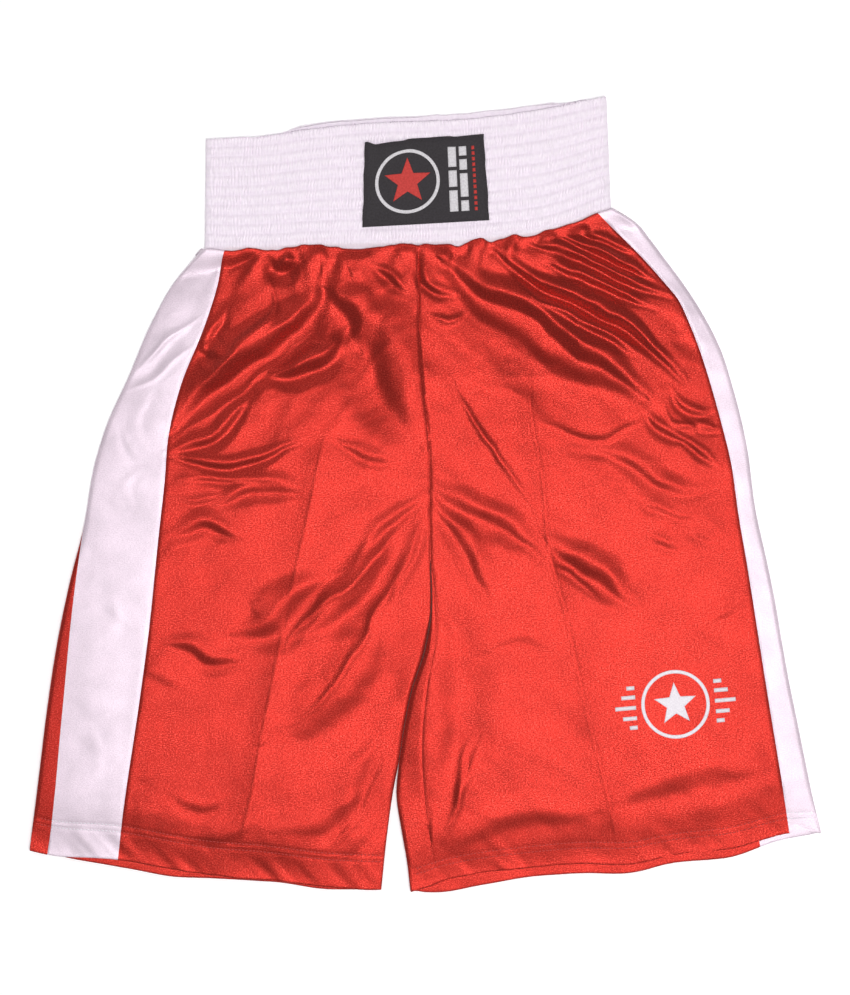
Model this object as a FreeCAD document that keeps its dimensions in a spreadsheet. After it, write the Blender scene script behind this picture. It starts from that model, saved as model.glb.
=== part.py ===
import FreeCAD, Part

import os
from collections import namedtuple
from math import cos, pi, sin

import Sketcher
from FreeCAD import Placement, Rotation, Vector

# Boxing shorts with a deep shirred waistband, lying flat on their back, front up, waist towards +Y.
# Millimetres. +X is the wearer's left. The origin is under the middle, on the surface they lie on.

doc = FreeCAD.newDocument("boxing_shorts")

# ---------------------------------------------------------------- driving dimensions

SIZES = {
    "loft": 14,                # height of the whole garment lying flat
    "cloth": 1,                # satin with its small creases
    "side_round": 6,           # radius of the fold down each side
    "fold_y": -86,             # line the legs fold up on, just under the crotch
    "fold_gap": 1,             # clear space across that line
    "leg_gap": 2.4,            # clear space between the legs above the split
    "corner_ease": 30,         # rounding where the split between the legs changes direction
    "waist_gap": 0.8,          # clear space between the waistband and the seat
    "band_height": 100,        # waistband, waist seam to top edge
    "band_width": 352,         # relaxed, laid flat
    "band_lean": 8,            # how far the top edge is pushed sideways
    "band_tilt": 5.1,          # the waistband's slope as it lies, degrees
    "band_cloth": 0.8,         # each cloth layer of the waistband
    "band_elastic": 1.2,       # the elastic between them
    "band_row_pitch": 8.8,     # spacing of the shirring rows
    "band_row_first": 6,       # first row above the seam
    "band_thread": 0.4,        # how far a shirring thread stands out
    "closing_width": 7,        # seam allowance where the band is joined at the back
    "seam_width": 5,           # overlocked seam allowance
    "seam_height": 1,
    "hem_depth": 18,           # hem stitching above the hem edge
    "hem_rows": 3.2,           # distance between the two needles
    "hem_thread": 0.7,
    "label_width": 104,
    "label_height": 73,
    "label_thickness": 0.8,
    "label_tilt": 4,
    "label_inset": 2,          # stitching from the label's edge
    "print_width": 104,
    "print_height": 60,
    "print_tilt": 5,
    "print_film": 0.4,
    "margin": 60,              # how far a cutting region runs past the cloth
}

SHIRRING_ROWS = 11

# Named places on the pattern pieces: (x, y).
MARKS = {
    "waist_right": (-192, 208), "waist_left": (161, 239.5),
    "waist_centre": (-6, 224.6),
    # outline of the wearer's left side (+X)
    "hip_left": (252, 132), "thigh_left": (283, -6), "hem_left": (341, -291),
    "hem_left_middle": (175, -317), "hem_left_inner": (-13, -342),
    # where the legs lie side by side, from the crotch down to where they part
    "crotch": (4.5, -56), "fork": (4.5, -112), "inner": (-13, -169), "split": (-28, -257),
    # outline of the wearer's right side (-X)
    "hem_right_inner": (-38, -340), "hem_right_middle": (-186, -328), "hem_right": (-341, -305),
    "leg_right": (-321, -160), "thigh_right": (-295, -30), "hip_right": (-257, 97),
    # seams of the side stripes and legs
    "front_seam_right_top": (-172, 212), "front_seam_right_bulge": (-209, 100),
    "front_seam_right_knee": (-223, 17), "front_seam_right_hem": (-265, -314),
    "rear_seam_right_top": (-174, 212), "rear_seam_right_bulge": (-238, 97),
    "rear_seam_right_turn": (-293, -31), "rear_seam_right_hem": (-326, -310),
    "rear_seam_right_last": (-266, 35),
    "front_seam_left_top": (146, 240), "front_seam_left_bulge": (234, 125),
    "front_seam_left_knee": (263, 28), "front_seam_left_hem": (313, -287),
    "rear_seam_left_top": (104, 236), "rear_seam_left_bulge": (204, 117),
    "rear_seam_left_knee": (240, -6), "rear_seam_left_hem": (288, -300),
    "inseam_right_middle": (-36, -169), "inseam_right_hem": (-58, -338),
    "inseam_left_top": (10.5, -112), "inseam_left_middle": (3, -169),
    "inseam_left_low": (-1, -256), "inseam_left_hem": (7, -338),
    # middles of the label and of the leg print
    "label": (0, 270), "print": (215, -180),
}


def fill_sheet():
    """Write every driving dimension into the spreadsheet under its own alias."""
    sheet = doc.addObject("Spreadsheet::Sheet", "Sizes")
    values = dict(SIZES)
    for name, (x, y) in MARKS.items():
        values[name + "_x"] = x
        values[name + "_y"] = y
    for row, (alias, value) in enumerate(values.items(), 1):
        sheet.set(f"A{row}", str(value))
        sheet.setAlias(f"A{row}", alias)
    doc.recompute()
    return values


VALUES = fill_sheet()

# ---------------------------------------------------------------- points that follow the sheet

# A coordinate is a list of (factor, alias) terms that are added up.
Spot = namedtuple("Spot", "x y")
Bend = namedtuple("Bend", "spot")     # the arc between its two neighbours passes through this spot


def number(terms):
    return sum(factor * VALUES[alias] for factor, alias in terms)


def formula(terms):
    return " + ".join(f"{factor} * Sizes.{alias}" for factor, alias in terms) or "0"


def mark(name, dx=(), dy=()):
    """A named place, shifted by further terms."""
    return Spot([(1, name + "_x"), *dx], [(1, name + "_y"), *dy])


def shifted(outline, dx=(), dy=()):
    """The same outline with every spot moved by the same terms."""
    moved = []
    for item in outline:
        spot = item.spot if isinstance(item, Bend) else item
        spot = Spot([*spot.x, *dx], [*spot.y, *dy])
        moved.append(Bend(spot) if isinstance(item, Bend) else spot)
    return moved


def point(spot):
    return Vector(number(spot.x), number(spot.y), 0)


def pin(sketch, geometry, end, spot):
    """Hold one end of a sketch line or arc at a spot that the sheet drives."""
    for kind, terms in (("DistanceX", spot.x), ("DistanceY", spot.y)):
        index = sketch.addConstraint(Sketcher.Constraint(kind, -1, 1, geometry, end, number(terms)))
        sketch.setExpression(f"Constraints[{index}]", formula(terms))


def draw(sketch, outline):
    """A closed outline of straight lines and of arcs, each arc marked by a Bend."""
    first = None
    previous = None
    for index, start in enumerate(outline):
        if isinstance(start, Bend):
            continue
        after = outline[(index + 1) % len(outline)]
        if isinstance(after, Bend):
            end = outline[(index + 2) % len(outline)]
            arc = Part.Arc(point(start), point(after.spot), point(end))
            edge = sketch.addGeometry(arc)
            through = sketch.addGeometry(Part.Point(point(after.spot)), True)
            pin(sketch, through, 1, after.spot)
            sketch.addConstraint(Sketcher.Constraint("PointOnObject", through, 1, edge))
            middle = arc.value((arc.FirstParameter + arc.LastParameter) / 2)
            turns_left = (middle - point(start)).cross(point(end) - point(start)).z > 0
            begin, finish = (1, 2) if turns_left else (2, 1)
        else:
            end = after
            edge = sketch.addGeometry(Part.LineSegment(point(start), point(end)))
            begin, finish = 1, 2
        if previous:
            sketch.addConstraint(Sketcher.Constraint("Coincident", *previous, edge, begin))
        else:
            first = (edge, begin)
        pin(sketch, edge, begin, start)
        previous = (edge, finish)
    sketch.addConstraint(Sketcher.Constraint("Coincident", *previous, *first))


# ---------------------------------------------------------------- bodies

def new_body(label):
    body = doc.addObject("PartDesign::Body", label)
    body.Label = label
    return body


def new_sketch(body, role, height=()):
    """A sketch on one of the body's origin planes, raised along the plane's normal."""
    plane = next(f for f in body.Origin.OriginFeatures if f.Role == role)
    sketch = body.newObject("Sketcher::SketchObject", body.Label + "_sketch")
    sketch.AttachmentSupport = [(plane, "")]
    sketch.MapMode = "FlatFace"
    if height:
        sketch.setExpression("AttachmentOffset.Base.z", formula(height))
    return sketch


def add_pad(body, outlines, low, depth, downwards=False):
    """Extrude outlines that lie flat at height low by depth."""
    sketch = new_sketch(body, "XY_Plane", low)
    for outline in outlines:
        draw(sketch, outline)
    pad = body.newObject("PartDesign::Pad", body.Label + "_pad")
    pad.Profile = sketch
    pad.Reversed = downwards
    pad.setExpression("Length", formula(depth))
    return pad


def place(body, spot, tilt, height=()):
    """Move a body to a spot of the sheet and turn it about Z."""
    body.Placement = Placement(Vector(0, 0, 0), Rotation(Vector(0, 0, 1), number(tilt)))
    body.setExpression("Placement.Base.x", formula(spot.x))
    body.setExpression("Placement.Base.y", formula(spot.y))
    body.setExpression("Placement.Base.z", formula(height))
    body.setExpression("Placement.Rotation.Angle", formula(tilt))


def common(label, *shapes):
    piece = doc.addObject("Part::MultiCommon", label)
    piece.Label = label
    piece.Shapes = list(shapes)
    return piece


def cut(label, base, tool):
    piece = doc.addObject("Part::Cut", label)
    piece.Label = label
    piece.Base = base
    piece.Tool = tool
    return piece


def fuse(label, *shapes):
    piece = doc.addObject("Part::MultiFuse", label)
    piece.Label = label
    piece.Shapes = list(shapes)
    return piece


nodes = {}


def keep(piece):
    """Count a finished sub-part among the files that are written."""
    nodes[piece.Label] = piece
    return piece


# ---------------------------------------------------------------- the garment as one shell

LOFT = [(1, "loft")]
HALF = [(0.5, "loft")]

CENTRE_LINE = [mark("waist_centre"), mark("crotch")]
LEG_SPLIT = [mark("crotch"), mark("fork"), Bend(mark("inner")), mark("split")]
RIGHT_EDGE = shifted(LEG_SPLIT, dx=[(-0.5, "leg_gap")])
LEFT_EDGE = shifted(LEG_SPLIT, dx=[(0.5, "leg_gap")])


def garment_form():
    """The closed outer form: both legs and the seat, with rounded sides."""
    body = new_body("garment_form")
    outline = [
        mark("waist_left"), Bend(mark("hip_left")), mark("thigh_left"), mark("hem_left"),
        mark("hem_left_middle"), mark("hem_left_inner"), *reversed(LEFT_EDGE), *RIGHT_EDGE,
        mark("hem_right_inner"),
        mark("hem_right_middle"), mark("hem_right"), Bend(mark("leg_right")),
        mark("thigh_right"), Bend(mark("hip_right")), mark("waist_right"),
    ]
    pad = add_pad(body, [outline], (), LOFT)
    doc.recompute()
    corners = []
    for index, edge in enumerate(pad.Shape.Edges, 1):
        spot = edge.Vertexes[0].Point
        upright = abs(spot.z - edge.Vertexes[-1].Z) > VALUES["cloth"]
        for name in ("fork", "split"):
            away_x, away_y = abs(spot.x - VALUES[name + "_x"]), abs(spot.y - VALUES[name + "_y"])
            if upright and away_x < VALUES["leg_gap"] and away_y < VALUES["cloth"]:
                corners.append(f"Edge{index}")
    eased = body.newObject("PartDesign::Fillet", "split_corners")
    eased.Base = (pad, corners)
    eased.setExpression("Radius", "Sizes.corner_ease")
    body.Tip = eased
    doc.recompute()
    side = min(-VALUES["front_seam_right_top_x"], VALUES["front_seam_left_knee_x"])
    rims = []
    for index, edge in enumerate(eased.Shape.Edges, 1):
        middle = edge.valueAt((edge.FirstParameter + edge.LastParameter) / 2)
        level = abs(edge.Vertexes[0].Z - edge.Vertexes[-1].Z) < 0.1
        if level and abs(middle.x) > side and middle.y > VALUES["hem_left_y"]:
            rims.append(f"Edge{index}")
    rounded = body.newObject("PartDesign::Fillet", "side_folds")
    rounded.Base = (eased, rims)
    rounded.setExpression("Radius", "Sizes.side_round")
    body.Tip = rounded
    doc.recompute()
    return body


def garment_shell(form):
    """The form made hollow, open at the waist and at both hems."""
    shell = doc.addObject("Part::Thickness", "garment_shell")
    ends = []
    for index, face in enumerate(form.Shape.Faces, 1):
        middle = face.CenterOfMass
        normal = face.normalAt(0, 0)
        at_end = middle.y > VALUES["waist_right_y"] or middle.y < VALUES["thigh_right_y"]
        if face.Surface.TypeId == "Part::GeomPlane" and abs(normal.y) > 0.9 and at_end:
            if abs(middle.x - VALUES["crotch_x"]) > VALUES["leg_gap"]:
                ends.append(f"Face{index}")
    shell.Faces = (form, ends)
    shell.setExpression("Value", "-Sizes.cloth")
    return shell


# ---------------------------------------------------------------- cutting regions

def past(spot, dx=0, dy=0):
    """A spot moved clear of the cloth, by whole margins."""
    return Spot([*spot.x, (dx, "margin")], [*spot.y, (dy, "margin")])


def region(label, outline, low=(), depth=LOFT, downwards=False):
    body = new_body(label)
    add_pad(body, [outline], low, depth, downwards)
    return body


def two_level_region(label, upper, lower):
    """A region with one outline over the front layer and another over the back layer."""
    body = new_body(label)
    add_pad(body, [upper], HALF, HALF)
    add_pad(body, [lower], HALF, HALF, downwards=True)
    return body


def zones():
    """The seat above the fold line, and the legs below it."""
    left = mark("hem_right")
    right = mark("hem_left")

    def line(sign, factor):
        level = [(1, "fold_y"), (factor, "fold_gap")]
        side = left if sign < 0 else right
        return past(Spot(side.x, level), dx=sign)

    top = [mark("waist_right"), mark("waist_left")]
    seat = region("seat_zone", [
        line(-1, 0.5), line(1, 0.5),
        past(Spot(right.x, top[1].y), 1, 1), past(Spot(left.x, top[0].y), -1, 1),
    ])
    legs = region("leg_zone", [
        line(-1, -0.5), past(Spot(left.x, mark("hem_left_inner").y), -1, -1),
        past(Spot(right.x, mark("hem_left_inner").y), 1, -1), line(1, -0.5),
    ])
    return seat, legs


def half_region(label, side):
    """Everything on one side of the centre seams and of the gap between the legs."""
    outer = mark("hem_left") if side > 0 else mark("hem_right")
    low = past(Spot(LEG_SPLIT[-1].x, mark("hem_left_inner").y), 0, -1)
    return region(label, [
        past(CENTRE_LINE[0], 0, 1), *CENTRE_LINE[1:], *LEG_SPLIT[1:], low,
        past(Spot(outer.x, low.y), side), past(Spot(outer.x, CENTRE_LINE[0].y), side, 1),
    ])


FRONT_SEAM = {
    "right": [
        mark("front_seam_right_top"), Bend(mark("front_seam_right_bulge")),
        mark("front_seam_right_knee"), mark("front_seam_right_hem"),
    ],
    "left": [
        mark("front_seam_left_top"), Bend(mark("front_seam_left_bulge")),
        mark("front_seam_left_knee"), mark("front_seam_left_hem"),
    ],
}
REAR_SEAM_LEFT = [
    mark("rear_seam_left_top"), Bend(mark("rear_seam_left_bulge")),
    mark("rear_seam_left_knee"), mark("rear_seam_left_hem"),
]
REAR_SEAM_RIGHT_BACK = [
    mark("rear_seam_right_top"), Bend(mark("rear_seam_right_bulge")), mark("rear_seam_right_turn"),
]
REAR_SEAM_RIGHT_FRONT = [mark("rear_seam_right_turn"), mark("rear_seam_right_hem")]
INSEAM_RIGHT = [RIGHT_EDGE[0], mark("inseam_right_middle"), mark("inseam_right_hem")]
INSEAM_LEFT = [
    LEFT_EDGE[0], mark("inseam_left_top"), mark("inseam_left_middle"), mark("inseam_left_low"),
    mark("inseam_left_hem"),
]


def stripe_regions():
    """The white side stripes. The shorts lie a little twisted, so the right one is all in front."""
    front = FRONT_SEAM["right"]
    outer_low = past(mark("rear_seam_right_turn"), -1)
    right = two_level_region(
        "stripe_region_right",
        [past(front[0], 0, 1), *front, past(front[-1], 0, -1), past(REAR_SEAM_RIGHT_FRONT[-1], 0, -1),
         *reversed(REAR_SEAM_RIGHT_FRONT), outer_low, past(Spot(outer_low.x, front[0].y), 0, 1)],
        [past(REAR_SEAM_RIGHT_BACK[0], 0, 1), *REAR_SEAM_RIGHT_BACK, outer_low,
         past(Spot(outer_low.x, front[0].y), 0, 1)],
    )

    def left_outline(seam):
        outer = past(mark("hem_left"), 1, -1)
        return [past(seam[0], 0, 1), *seam, past(seam[-1], 0, -1), outer,
                past(Spot(outer.x, seam[0].y), 0, 1)]

    left = two_level_region(
        "stripe_region_left", left_outline(FRONT_SEAM["left"]), left_outline(REAR_SEAM_LEFT)
    )
    return {"right": right, "left": left}


def front_regions():
    """The front panels. The right one wraps a little way under its leg, the left one stops short."""
    front = FRONT_SEAM["right"]
    low = past(LEG_SPLIT[-1], 0, -2)
    right = two_level_region(
        "front_region_right",
        [past(CENTRE_LINE[0], 0, 1), *CENTRE_LINE[1:], *LEG_SPLIT[1:], low,
         past(front[-1], 0, -1), *reversed(front), past(front[0], 0, 1)],
        [INSEAM_RIGHT[0], past(INSEAM_RIGHT[0], 1), past(INSEAM_RIGHT[-1], 2, -1),
         past(INSEAM_RIGHT[-1], 0, -1), *reversed(INSEAM_RIGHT[1:])],
    )
    front = FRONT_SEAM["left"]
    left = region(
        "front_region_left",
        [past(CENTRE_LINE[0], 0, 1), *CENTRE_LINE[1:], *INSEAM_LEFT[1:],
         past(INSEAM_LEFT[-1], 0, -1), past(front[-1], 0, -1), *reversed(front),
         past(front[0], 0, 1)],
        HALF, HALF,
    )
    return {"right": right, "left": left}


# ---------------------------------------------------------------- cloth panels

def make_panels(shell):
    seat_zone, leg_zone = zones()
    halves = {
        "right": half_region("half_region_right", -1),
        "left": half_region("half_region_left", 1),
    }
    stripes = stripe_regions()
    fronts = front_regions()
    for side in ("right", "left"):
        trims = fuse(f"front_and_stripe_{side}", fronts[side], stripes[side])
        for part, zone in (("seat", seat_zone), ("leg", leg_zone)):
            tube = common(f"tube_{side}_{part}", shell, halves[side], zone)
            keep(common(f"front_panel_{side}_{part}", tube, fronts[side]))
            keep(common(f"side_stripe_{side}_{part}", tube, stripes[side]))
            keep(cut(f"back_panel_{side}_{part}", tube, trims))
    return seat_zone, leg_zone


# ---------------------------------------------------------------- sewn seams inside

UNDER_FRONT = [(1, "loft"), (-1, "cloth")]
OVER_BACK = [(1, "cloth")]
SEAM_HEIGHT = [(1, "seam_height")]


def seam_prism(label, line, under_front):
    """A seam allowance laid along a seam line, against the inside of one layer."""
    half = [(0.5, "seam_width")]
    less = [(-0.5, "seam_width")]
    one_side = shifted(line, dx=less)
    other_side = shifted(line, dx=half)
    outline = [*one_side, *reversed(other_side)]
    low = UNDER_FRONT if under_front else OVER_BACK
    return region(label, outline, low, SEAM_HEIGHT, downwards=under_front)


def inside_of(form, shell):
    """The space enclosed by the shell."""
    return cut("inside", form, shell)


def sewing_zone():
    """The part of the garment below the waist seam's own allowance, and above the hem stitching."""
    drop = [(-1, "seam_width"), (-1, "seam_height")]
    rise = [(1, "hem_depth"), (3, "hem_rows")]
    return region("sewing_zone", [
        mark("waist_right", dy=drop), mark("waist_left", dy=drop), past(mark("hip_left"), 1),
        past(mark("hem_left", dy=rise), 1), mark("hem_left", dy=rise),
        mark("hem_left_inner", dy=rise), mark("hem_right_inner", dy=rise),
        mark("hem_right", dy=rise), past(mark("hem_right", dy=rise), -1), past(mark("hip_right"), -1),
    ])


def make_seams(inside, seat_zone, leg_zone):
    sewn = common("sewn_inside", inside, sewing_zone())
    for side, front in FRONT_SEAM.items():
        prism = seam_prism(f"front_side_seam_{side}_prism", front, True)
        keep(common(f"front_side_seam_{side}_seat", prism, sewn, seat_zone))
        keep(common(f"front_side_seam_{side}_leg", prism, sewn, leg_zone))
    prism = seam_prism("rear_side_seam_left_prism", REAR_SEAM_LEFT, False)
    keep(common("rear_side_seam_left_seat", prism, sewn, seat_zone))
    keep(common("rear_side_seam_left_leg", prism, sewn, leg_zone))
    short_of_fold = [*REAR_SEAM_RIGHT_BACK[:2], mark("rear_seam_right_last")]
    back_run = seam_prism("rear_side_seam_right_back", short_of_fold, False)
    front_run = seam_prism("rear_side_seam_right_front", REAR_SEAM_RIGHT_FRONT, True)
    keep(common("rear_side_seam_right_seat", back_run, sewn, seat_zone))
    keep(common("rear_side_seam_right_leg", front_run, sewn, leg_zone))
    centre_seam = [CENTRE_LINE[0], shifted(CENTRE_LINE, dy=[(1, "seam_width")])[1]]
    prism = seam_prism("centre_front_seam_prism", centre_seam, True)
    keep(common("centre_front_seam", prism, sewn))
    prism = seam_prism("centre_back_seam_prism", centre_seam, False)
    keep(common("centre_back_seam", prism, sewn))
    prism = seam_prism("inseam_right_prism", INSEAM_RIGHT, False)
    keep(common("inseam_right", prism, sewn, leg_zone))
    prism = seam_prism("inseam_left_prism", INSEAM_LEFT, True)
    keep(common("inseam_left", prism, sewn, leg_zone))
    waist_seam(inside)


def waist_seam(inside):
    """The gathered top edge of the panels, overlocked: a strip inside the front and the back."""
    body = new_body("waist_seam_strips")
    drop = [(-1, "seam_width")]
    outline = [
        mark("waist_right"), mark("waist_left"),
        mark("waist_left", dy=drop), mark("waist_right", dy=drop),
    ]
    add_pad(body, [outline], UNDER_FRONT, SEAM_HEIGHT, downwards=True)
    add_pad(body, [outline], OVER_BACK, SEAM_HEIGHT)
    keep(common("waist_seam_overlock", body, inside))


# ---------------------------------------------------------------- hem stitching

def hem_row(body, ends, rise, low):
    """One row of stitching along a hem, as a thin raised line."""
    start, middle, finish = ends
    inset = [(2, "side_round")]
    line = [
        mark(start, dx=inset, dy=rise), mark(middle, dy=rise),
        mark(finish, dx=[(-2, "side_round")], dy=rise),
    ]
    thick = shifted(line, dy=[(1, "hem_thread")])
    add_pad(body, [[*line, *reversed(thick)]], low, [(0.5, "hem_thread")])


def make_hem_stitching():
    hems = {
        "right": ("hem_right", "hem_right_middle", "hem_right_inner"),
        "left": ("hem_left_inner", "hem_left_middle", "hem_left"),
    }
    for side, ends in hems.items():
        body = new_body(f"hem_stitching_{side}")
        for low in (LOFT, OVER_BACK):
            for rows in (0, 1):
                rise = [(1, "hem_depth"), (rows, "hem_rows")] if rows else [(1, "hem_depth")]
                hem_row(body, ends, rise, low)
        keep(body)


# ---------------------------------------------------------------- waistband

BAND_FOOT = Spot(
    [(0.5, "waist_right_x"), (0.5, "waist_left_x")],
    [(0.5, "waist_right_y"), (0.5, "waist_left_y"), (1, "waist_gap")],
)
BAND_TILT = [(1, "band_tilt")]


def band_slot(inset):
    """The flattened loop of the waistband, drawn inset from its outer face."""
    straight = [(0.5, "band_width"), (-0.5, "loft")]
    mirrored = [(-factor, alias) for factor, alias in straight]
    low = list(inset)
    high = [(1, "loft"), *[(-factor, alias) for factor, alias in inset]]
    round_end = [(0.5, "loft"), *[(-factor, alias) for factor, alias in inset]]
    return [
        Spot(mirrored, low), Spot(straight, low), Bend(Spot([*straight, *round_end], HALF)),
        Spot(straight, high), Spot(mirrored, high),
        Bend(Spot([*mirrored, *[(-factor, alias) for factor, alias in round_end]], HALF)),
    ]


def band_loop(label, outer, inner, start, length):
    """One flattened loop around the waist, from start up the band."""
    body = new_body(label)
    sketch = new_sketch(body, "XZ_Plane", [(-factor, alias) for factor, alias in start])
    draw(sketch, band_slot(outer))
    draw(sketch, band_slot(inner))
    pad = body.newObject("PartDesign::Pad", label + "_pad")
    pad.Profile = sketch
    pad.UseCustomVector = True
    pad.AlongSketchNormal = True
    pad.Direction = Vector(VALUES["band_lean"], VALUES["band_height"], 0)
    pad.setExpression("Direction.x", "Sizes.band_lean")
    pad.setExpression("Direction.y", "Sizes.band_height")
    pad.setExpression("Length", formula(length))
    place(body, BAND_FOOT, BAND_TILT)
    return body


def make_waistband():
    outer = [(1, "band_cloth")]
    elastic = [(1, "band_cloth"), (1, "band_elastic")]
    inner = [(2, "band_cloth"), (1, "band_elastic")]
    height = [(1, "band_height")]
    keep(band_loop("waistband_outer_cloth", (), outer, (), height))
    keep(band_loop("waistband_elastic", outer, elastic, (), height))
    keep(band_loop("waistband_inner_cloth", elastic, inner, (), height))
    make_closing_seam(inner)


def make_closing_seam(inner):
    """The allowance where the band's ends are joined, inside at the middle of the back."""
    body = new_body("waistband_closing_seam")
    half = [(0.5, "closing_width")]
    less = [(-0.5, "closing_width")]
    outline = [
        Spot(less, ()), Spot(half, ()),
        Spot([*half, (1, "band_lean")], [(1, "band_height")]),
        Spot([*less, (1, "band_lean")], [(1, "band_height")]),
    ]
    add_pad(body, [outline], inner, [(1, "band_cloth")])
    place(body, BAND_FOOT, BAND_TILT)
    keep(body)


def make_shirring():
    """Rows of elastic thread sewn across the front and the back of the band."""
    body = new_body("waistband_shirring_threads")
    straight = [(0.5, "band_width"), (-0.5, "loft")]
    mirrored = [(-factor, alias) for factor, alias in straight]
    for row in range(SHIRRING_ROWS):
        rise = [(1, "band_row_first"), (row, "band_row_pitch")] if row else [(1, "band_row_first")]
        slide = number(rise) / VALUES["band_height"]
        push = [(slide, "band_lean")]
        top = [*rise, (1, "band_thread")]
        outline = [
            Spot([*mirrored, *push], rise), Spot([*straight, *push], rise),
            Spot([*straight, *push], top), Spot([*mirrored, *push], top),
        ]
        add_pad(body, [outline], LOFT, [(1, "band_thread")])
    place(body, BAND_FOOT, BAND_TILT)
    keep(body)


# ---------------------------------------------------------------- label and leg print

def rectangle(width, height, inset=()):
    """A centred rectangle with its sides moved in by inset."""
    less = [(-factor, alias) for factor, alias in inset]
    right = [(0.5, width), *less]
    top = [(0.5, height), *less]
    left = [(-factor, alias) for factor, alias in right]
    bottom = [(-factor, alias) for factor, alias in top]
    return [Spot(left, bottom), Spot(right, bottom), Spot(right, top), Spot(left, top)]


LABEL_SEAT = [(1, "loft"), (1, "band_thread")]


def make_label():
    patch = new_body("label_patch")
    add_pad(patch, [rectangle("label_width", "label_height")], (), [(1, "label_thickness")])
    place(patch, mark("label"), [(1, "label_tilt")], LABEL_SEAT)
    keep(patch)
    stitching = new_body("label_stitching")
    outer = rectangle("label_width", "label_height", [(1, "label_inset")])
    inner = rectangle("label_width", "label_height", [(1, "label_inset"), (1, "band_thread")])
    add_pad(stitching, [outer, inner], (), [(1, "band_thread")])
    place(stitching, mark("label"), [(1, "label_tilt")], [*LABEL_SEAT, (1, "label_thickness")])
    keep(stitching)


STAR_TIPS = 5
STAR_RADIUS = 0.34       # of the print's height
STAR_WAIST = 0.14
RING_OUTER = 0.5
RING_INNER = 0.44
BAR_THICKNESS = 0.08
BAR_LEVELS = ((-0.25, 0.72), (0, 1), (0.25, 0.72))     # height, reach


def make_leg_print():
    """A plain badge in printed film: a star in a ring, with bars to each side."""
    body = new_body("leg_print")
    tall = "print_height"

    def star_spot(index):
        reach = STAR_RADIUS if index % 2 == 0 else STAR_WAIST
        angle = pi / 2 + index * pi / STAR_TIPS
        return Spot([(reach * cos(angle), tall)], [(reach * sin(angle), tall)])

    def circle(reach):
        return [
            Spot([(-reach, tall)], []), Bend(Spot([], [(-reach, tall)])),
            Spot([(reach, tall)], []), Bend(Spot([], [(reach, tall)])),
        ]

    star = [star_spot(index) for index in range(2 * STAR_TIPS)]
    film = [(1, "print_film")]
    add_pad(body, [circle(RING_OUTER), circle(RING_INNER)], (), film)
    add_pad(body, [star], (), film)
    for side in (-1, 1):
        for level, reach in BAR_LEVELS:
            near = [(side * (RING_OUTER + BAR_THICKNESS), tall)]
            far = [(side * 0.5 * reach, "print_width")]
            low = [(level - BAR_THICKNESS / 2, tall)]
            high = [(level + BAR_THICKNESS / 2, tall)]
            bar = [Spot(near, low), Spot(far, low), Spot(far, high), Spot(near, high)]
            add_pad(body, [bar], (), film)
    place(body, mark("print"), [(1, "print_tilt")], LOFT)
    keep(body)


# ---------------------------------------------------------------- build and write

def build():
    form = garment_form()
    shell = garment_shell(form)
    seat_zone, leg_zone = make_panels(shell)
    make_seams(inside_of(form, shell), seat_zone, leg_zone)
    make_hem_stitching()
    make_waistband()
    make_shirring()
    make_label()
    make_leg_print()


def check():
    for item in doc.Objects:
        if "Invalid" in item.State or "Error" in item.State:
            raise RuntimeError(f"{item.Label} did not compute: {item.State}")
    for name, piece in nodes.items():
        if piece.Shape.isNull() or not piece.Shape.isValid() or not piece.Shape.Solids:
            raise RuntimeError(f"{name} has no valid solid")


build()
doc.recompute()
check()
os.makedirs("parts", exist_ok=True)
for name, piece in nodes.items():
    piece.Shape.exportStep(f"parts/{name}.step")
    box = piece.Shape.BoundBox
    print(f"{name:34s} {len(piece.Shape.Solids):3d} solids {piece.Shape.Volume:10.0f} mm3"
          f"  x {box.XMin:7.1f} {box.XMax:7.1f}  y {box.YMin:7.1f} {box.YMax:7.1f}"
          f"  z {box.ZMin:5.2f} {box.ZMax:5.2f}")
print(len(nodes), "nodes")
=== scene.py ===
import math

import bmesh
import bpy
import numpy as np
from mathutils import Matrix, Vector


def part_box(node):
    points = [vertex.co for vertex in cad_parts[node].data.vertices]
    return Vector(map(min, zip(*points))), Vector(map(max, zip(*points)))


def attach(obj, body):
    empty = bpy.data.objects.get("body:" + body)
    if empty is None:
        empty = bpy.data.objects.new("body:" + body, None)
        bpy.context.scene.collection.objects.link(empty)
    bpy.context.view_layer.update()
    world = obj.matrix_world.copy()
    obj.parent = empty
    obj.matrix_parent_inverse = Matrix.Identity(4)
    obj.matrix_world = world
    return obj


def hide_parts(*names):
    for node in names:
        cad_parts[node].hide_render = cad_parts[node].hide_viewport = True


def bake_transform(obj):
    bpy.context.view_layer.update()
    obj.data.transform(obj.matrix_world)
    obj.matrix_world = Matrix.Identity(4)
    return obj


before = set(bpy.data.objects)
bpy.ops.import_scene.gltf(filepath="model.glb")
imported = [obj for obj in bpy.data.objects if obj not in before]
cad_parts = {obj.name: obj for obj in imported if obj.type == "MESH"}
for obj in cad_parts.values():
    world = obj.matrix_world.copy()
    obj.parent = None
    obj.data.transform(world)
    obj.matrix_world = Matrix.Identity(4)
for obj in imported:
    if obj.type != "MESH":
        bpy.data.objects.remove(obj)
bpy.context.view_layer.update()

# Shapes are worked out in millimetres, and make_piece turns them into metres.
MM = 0.001
STEP = 1.6          # mesh spacing on the front
ROLL = 0.9                            # radius of a turned edge
CROTCH_Y = -56.0                      # where the legs part


# ---------------------------------------------------------------- curves and noise

def smooth(t):
    """From 0 to 1 as t does, level at both ends."""
    t = np.clip(t, 0, 1)
    return t * t * (3 - 2 * t)


def bell(t):
    """1 at t = 0, falling away on both sides."""
    return np.exp(-t * t)


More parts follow.
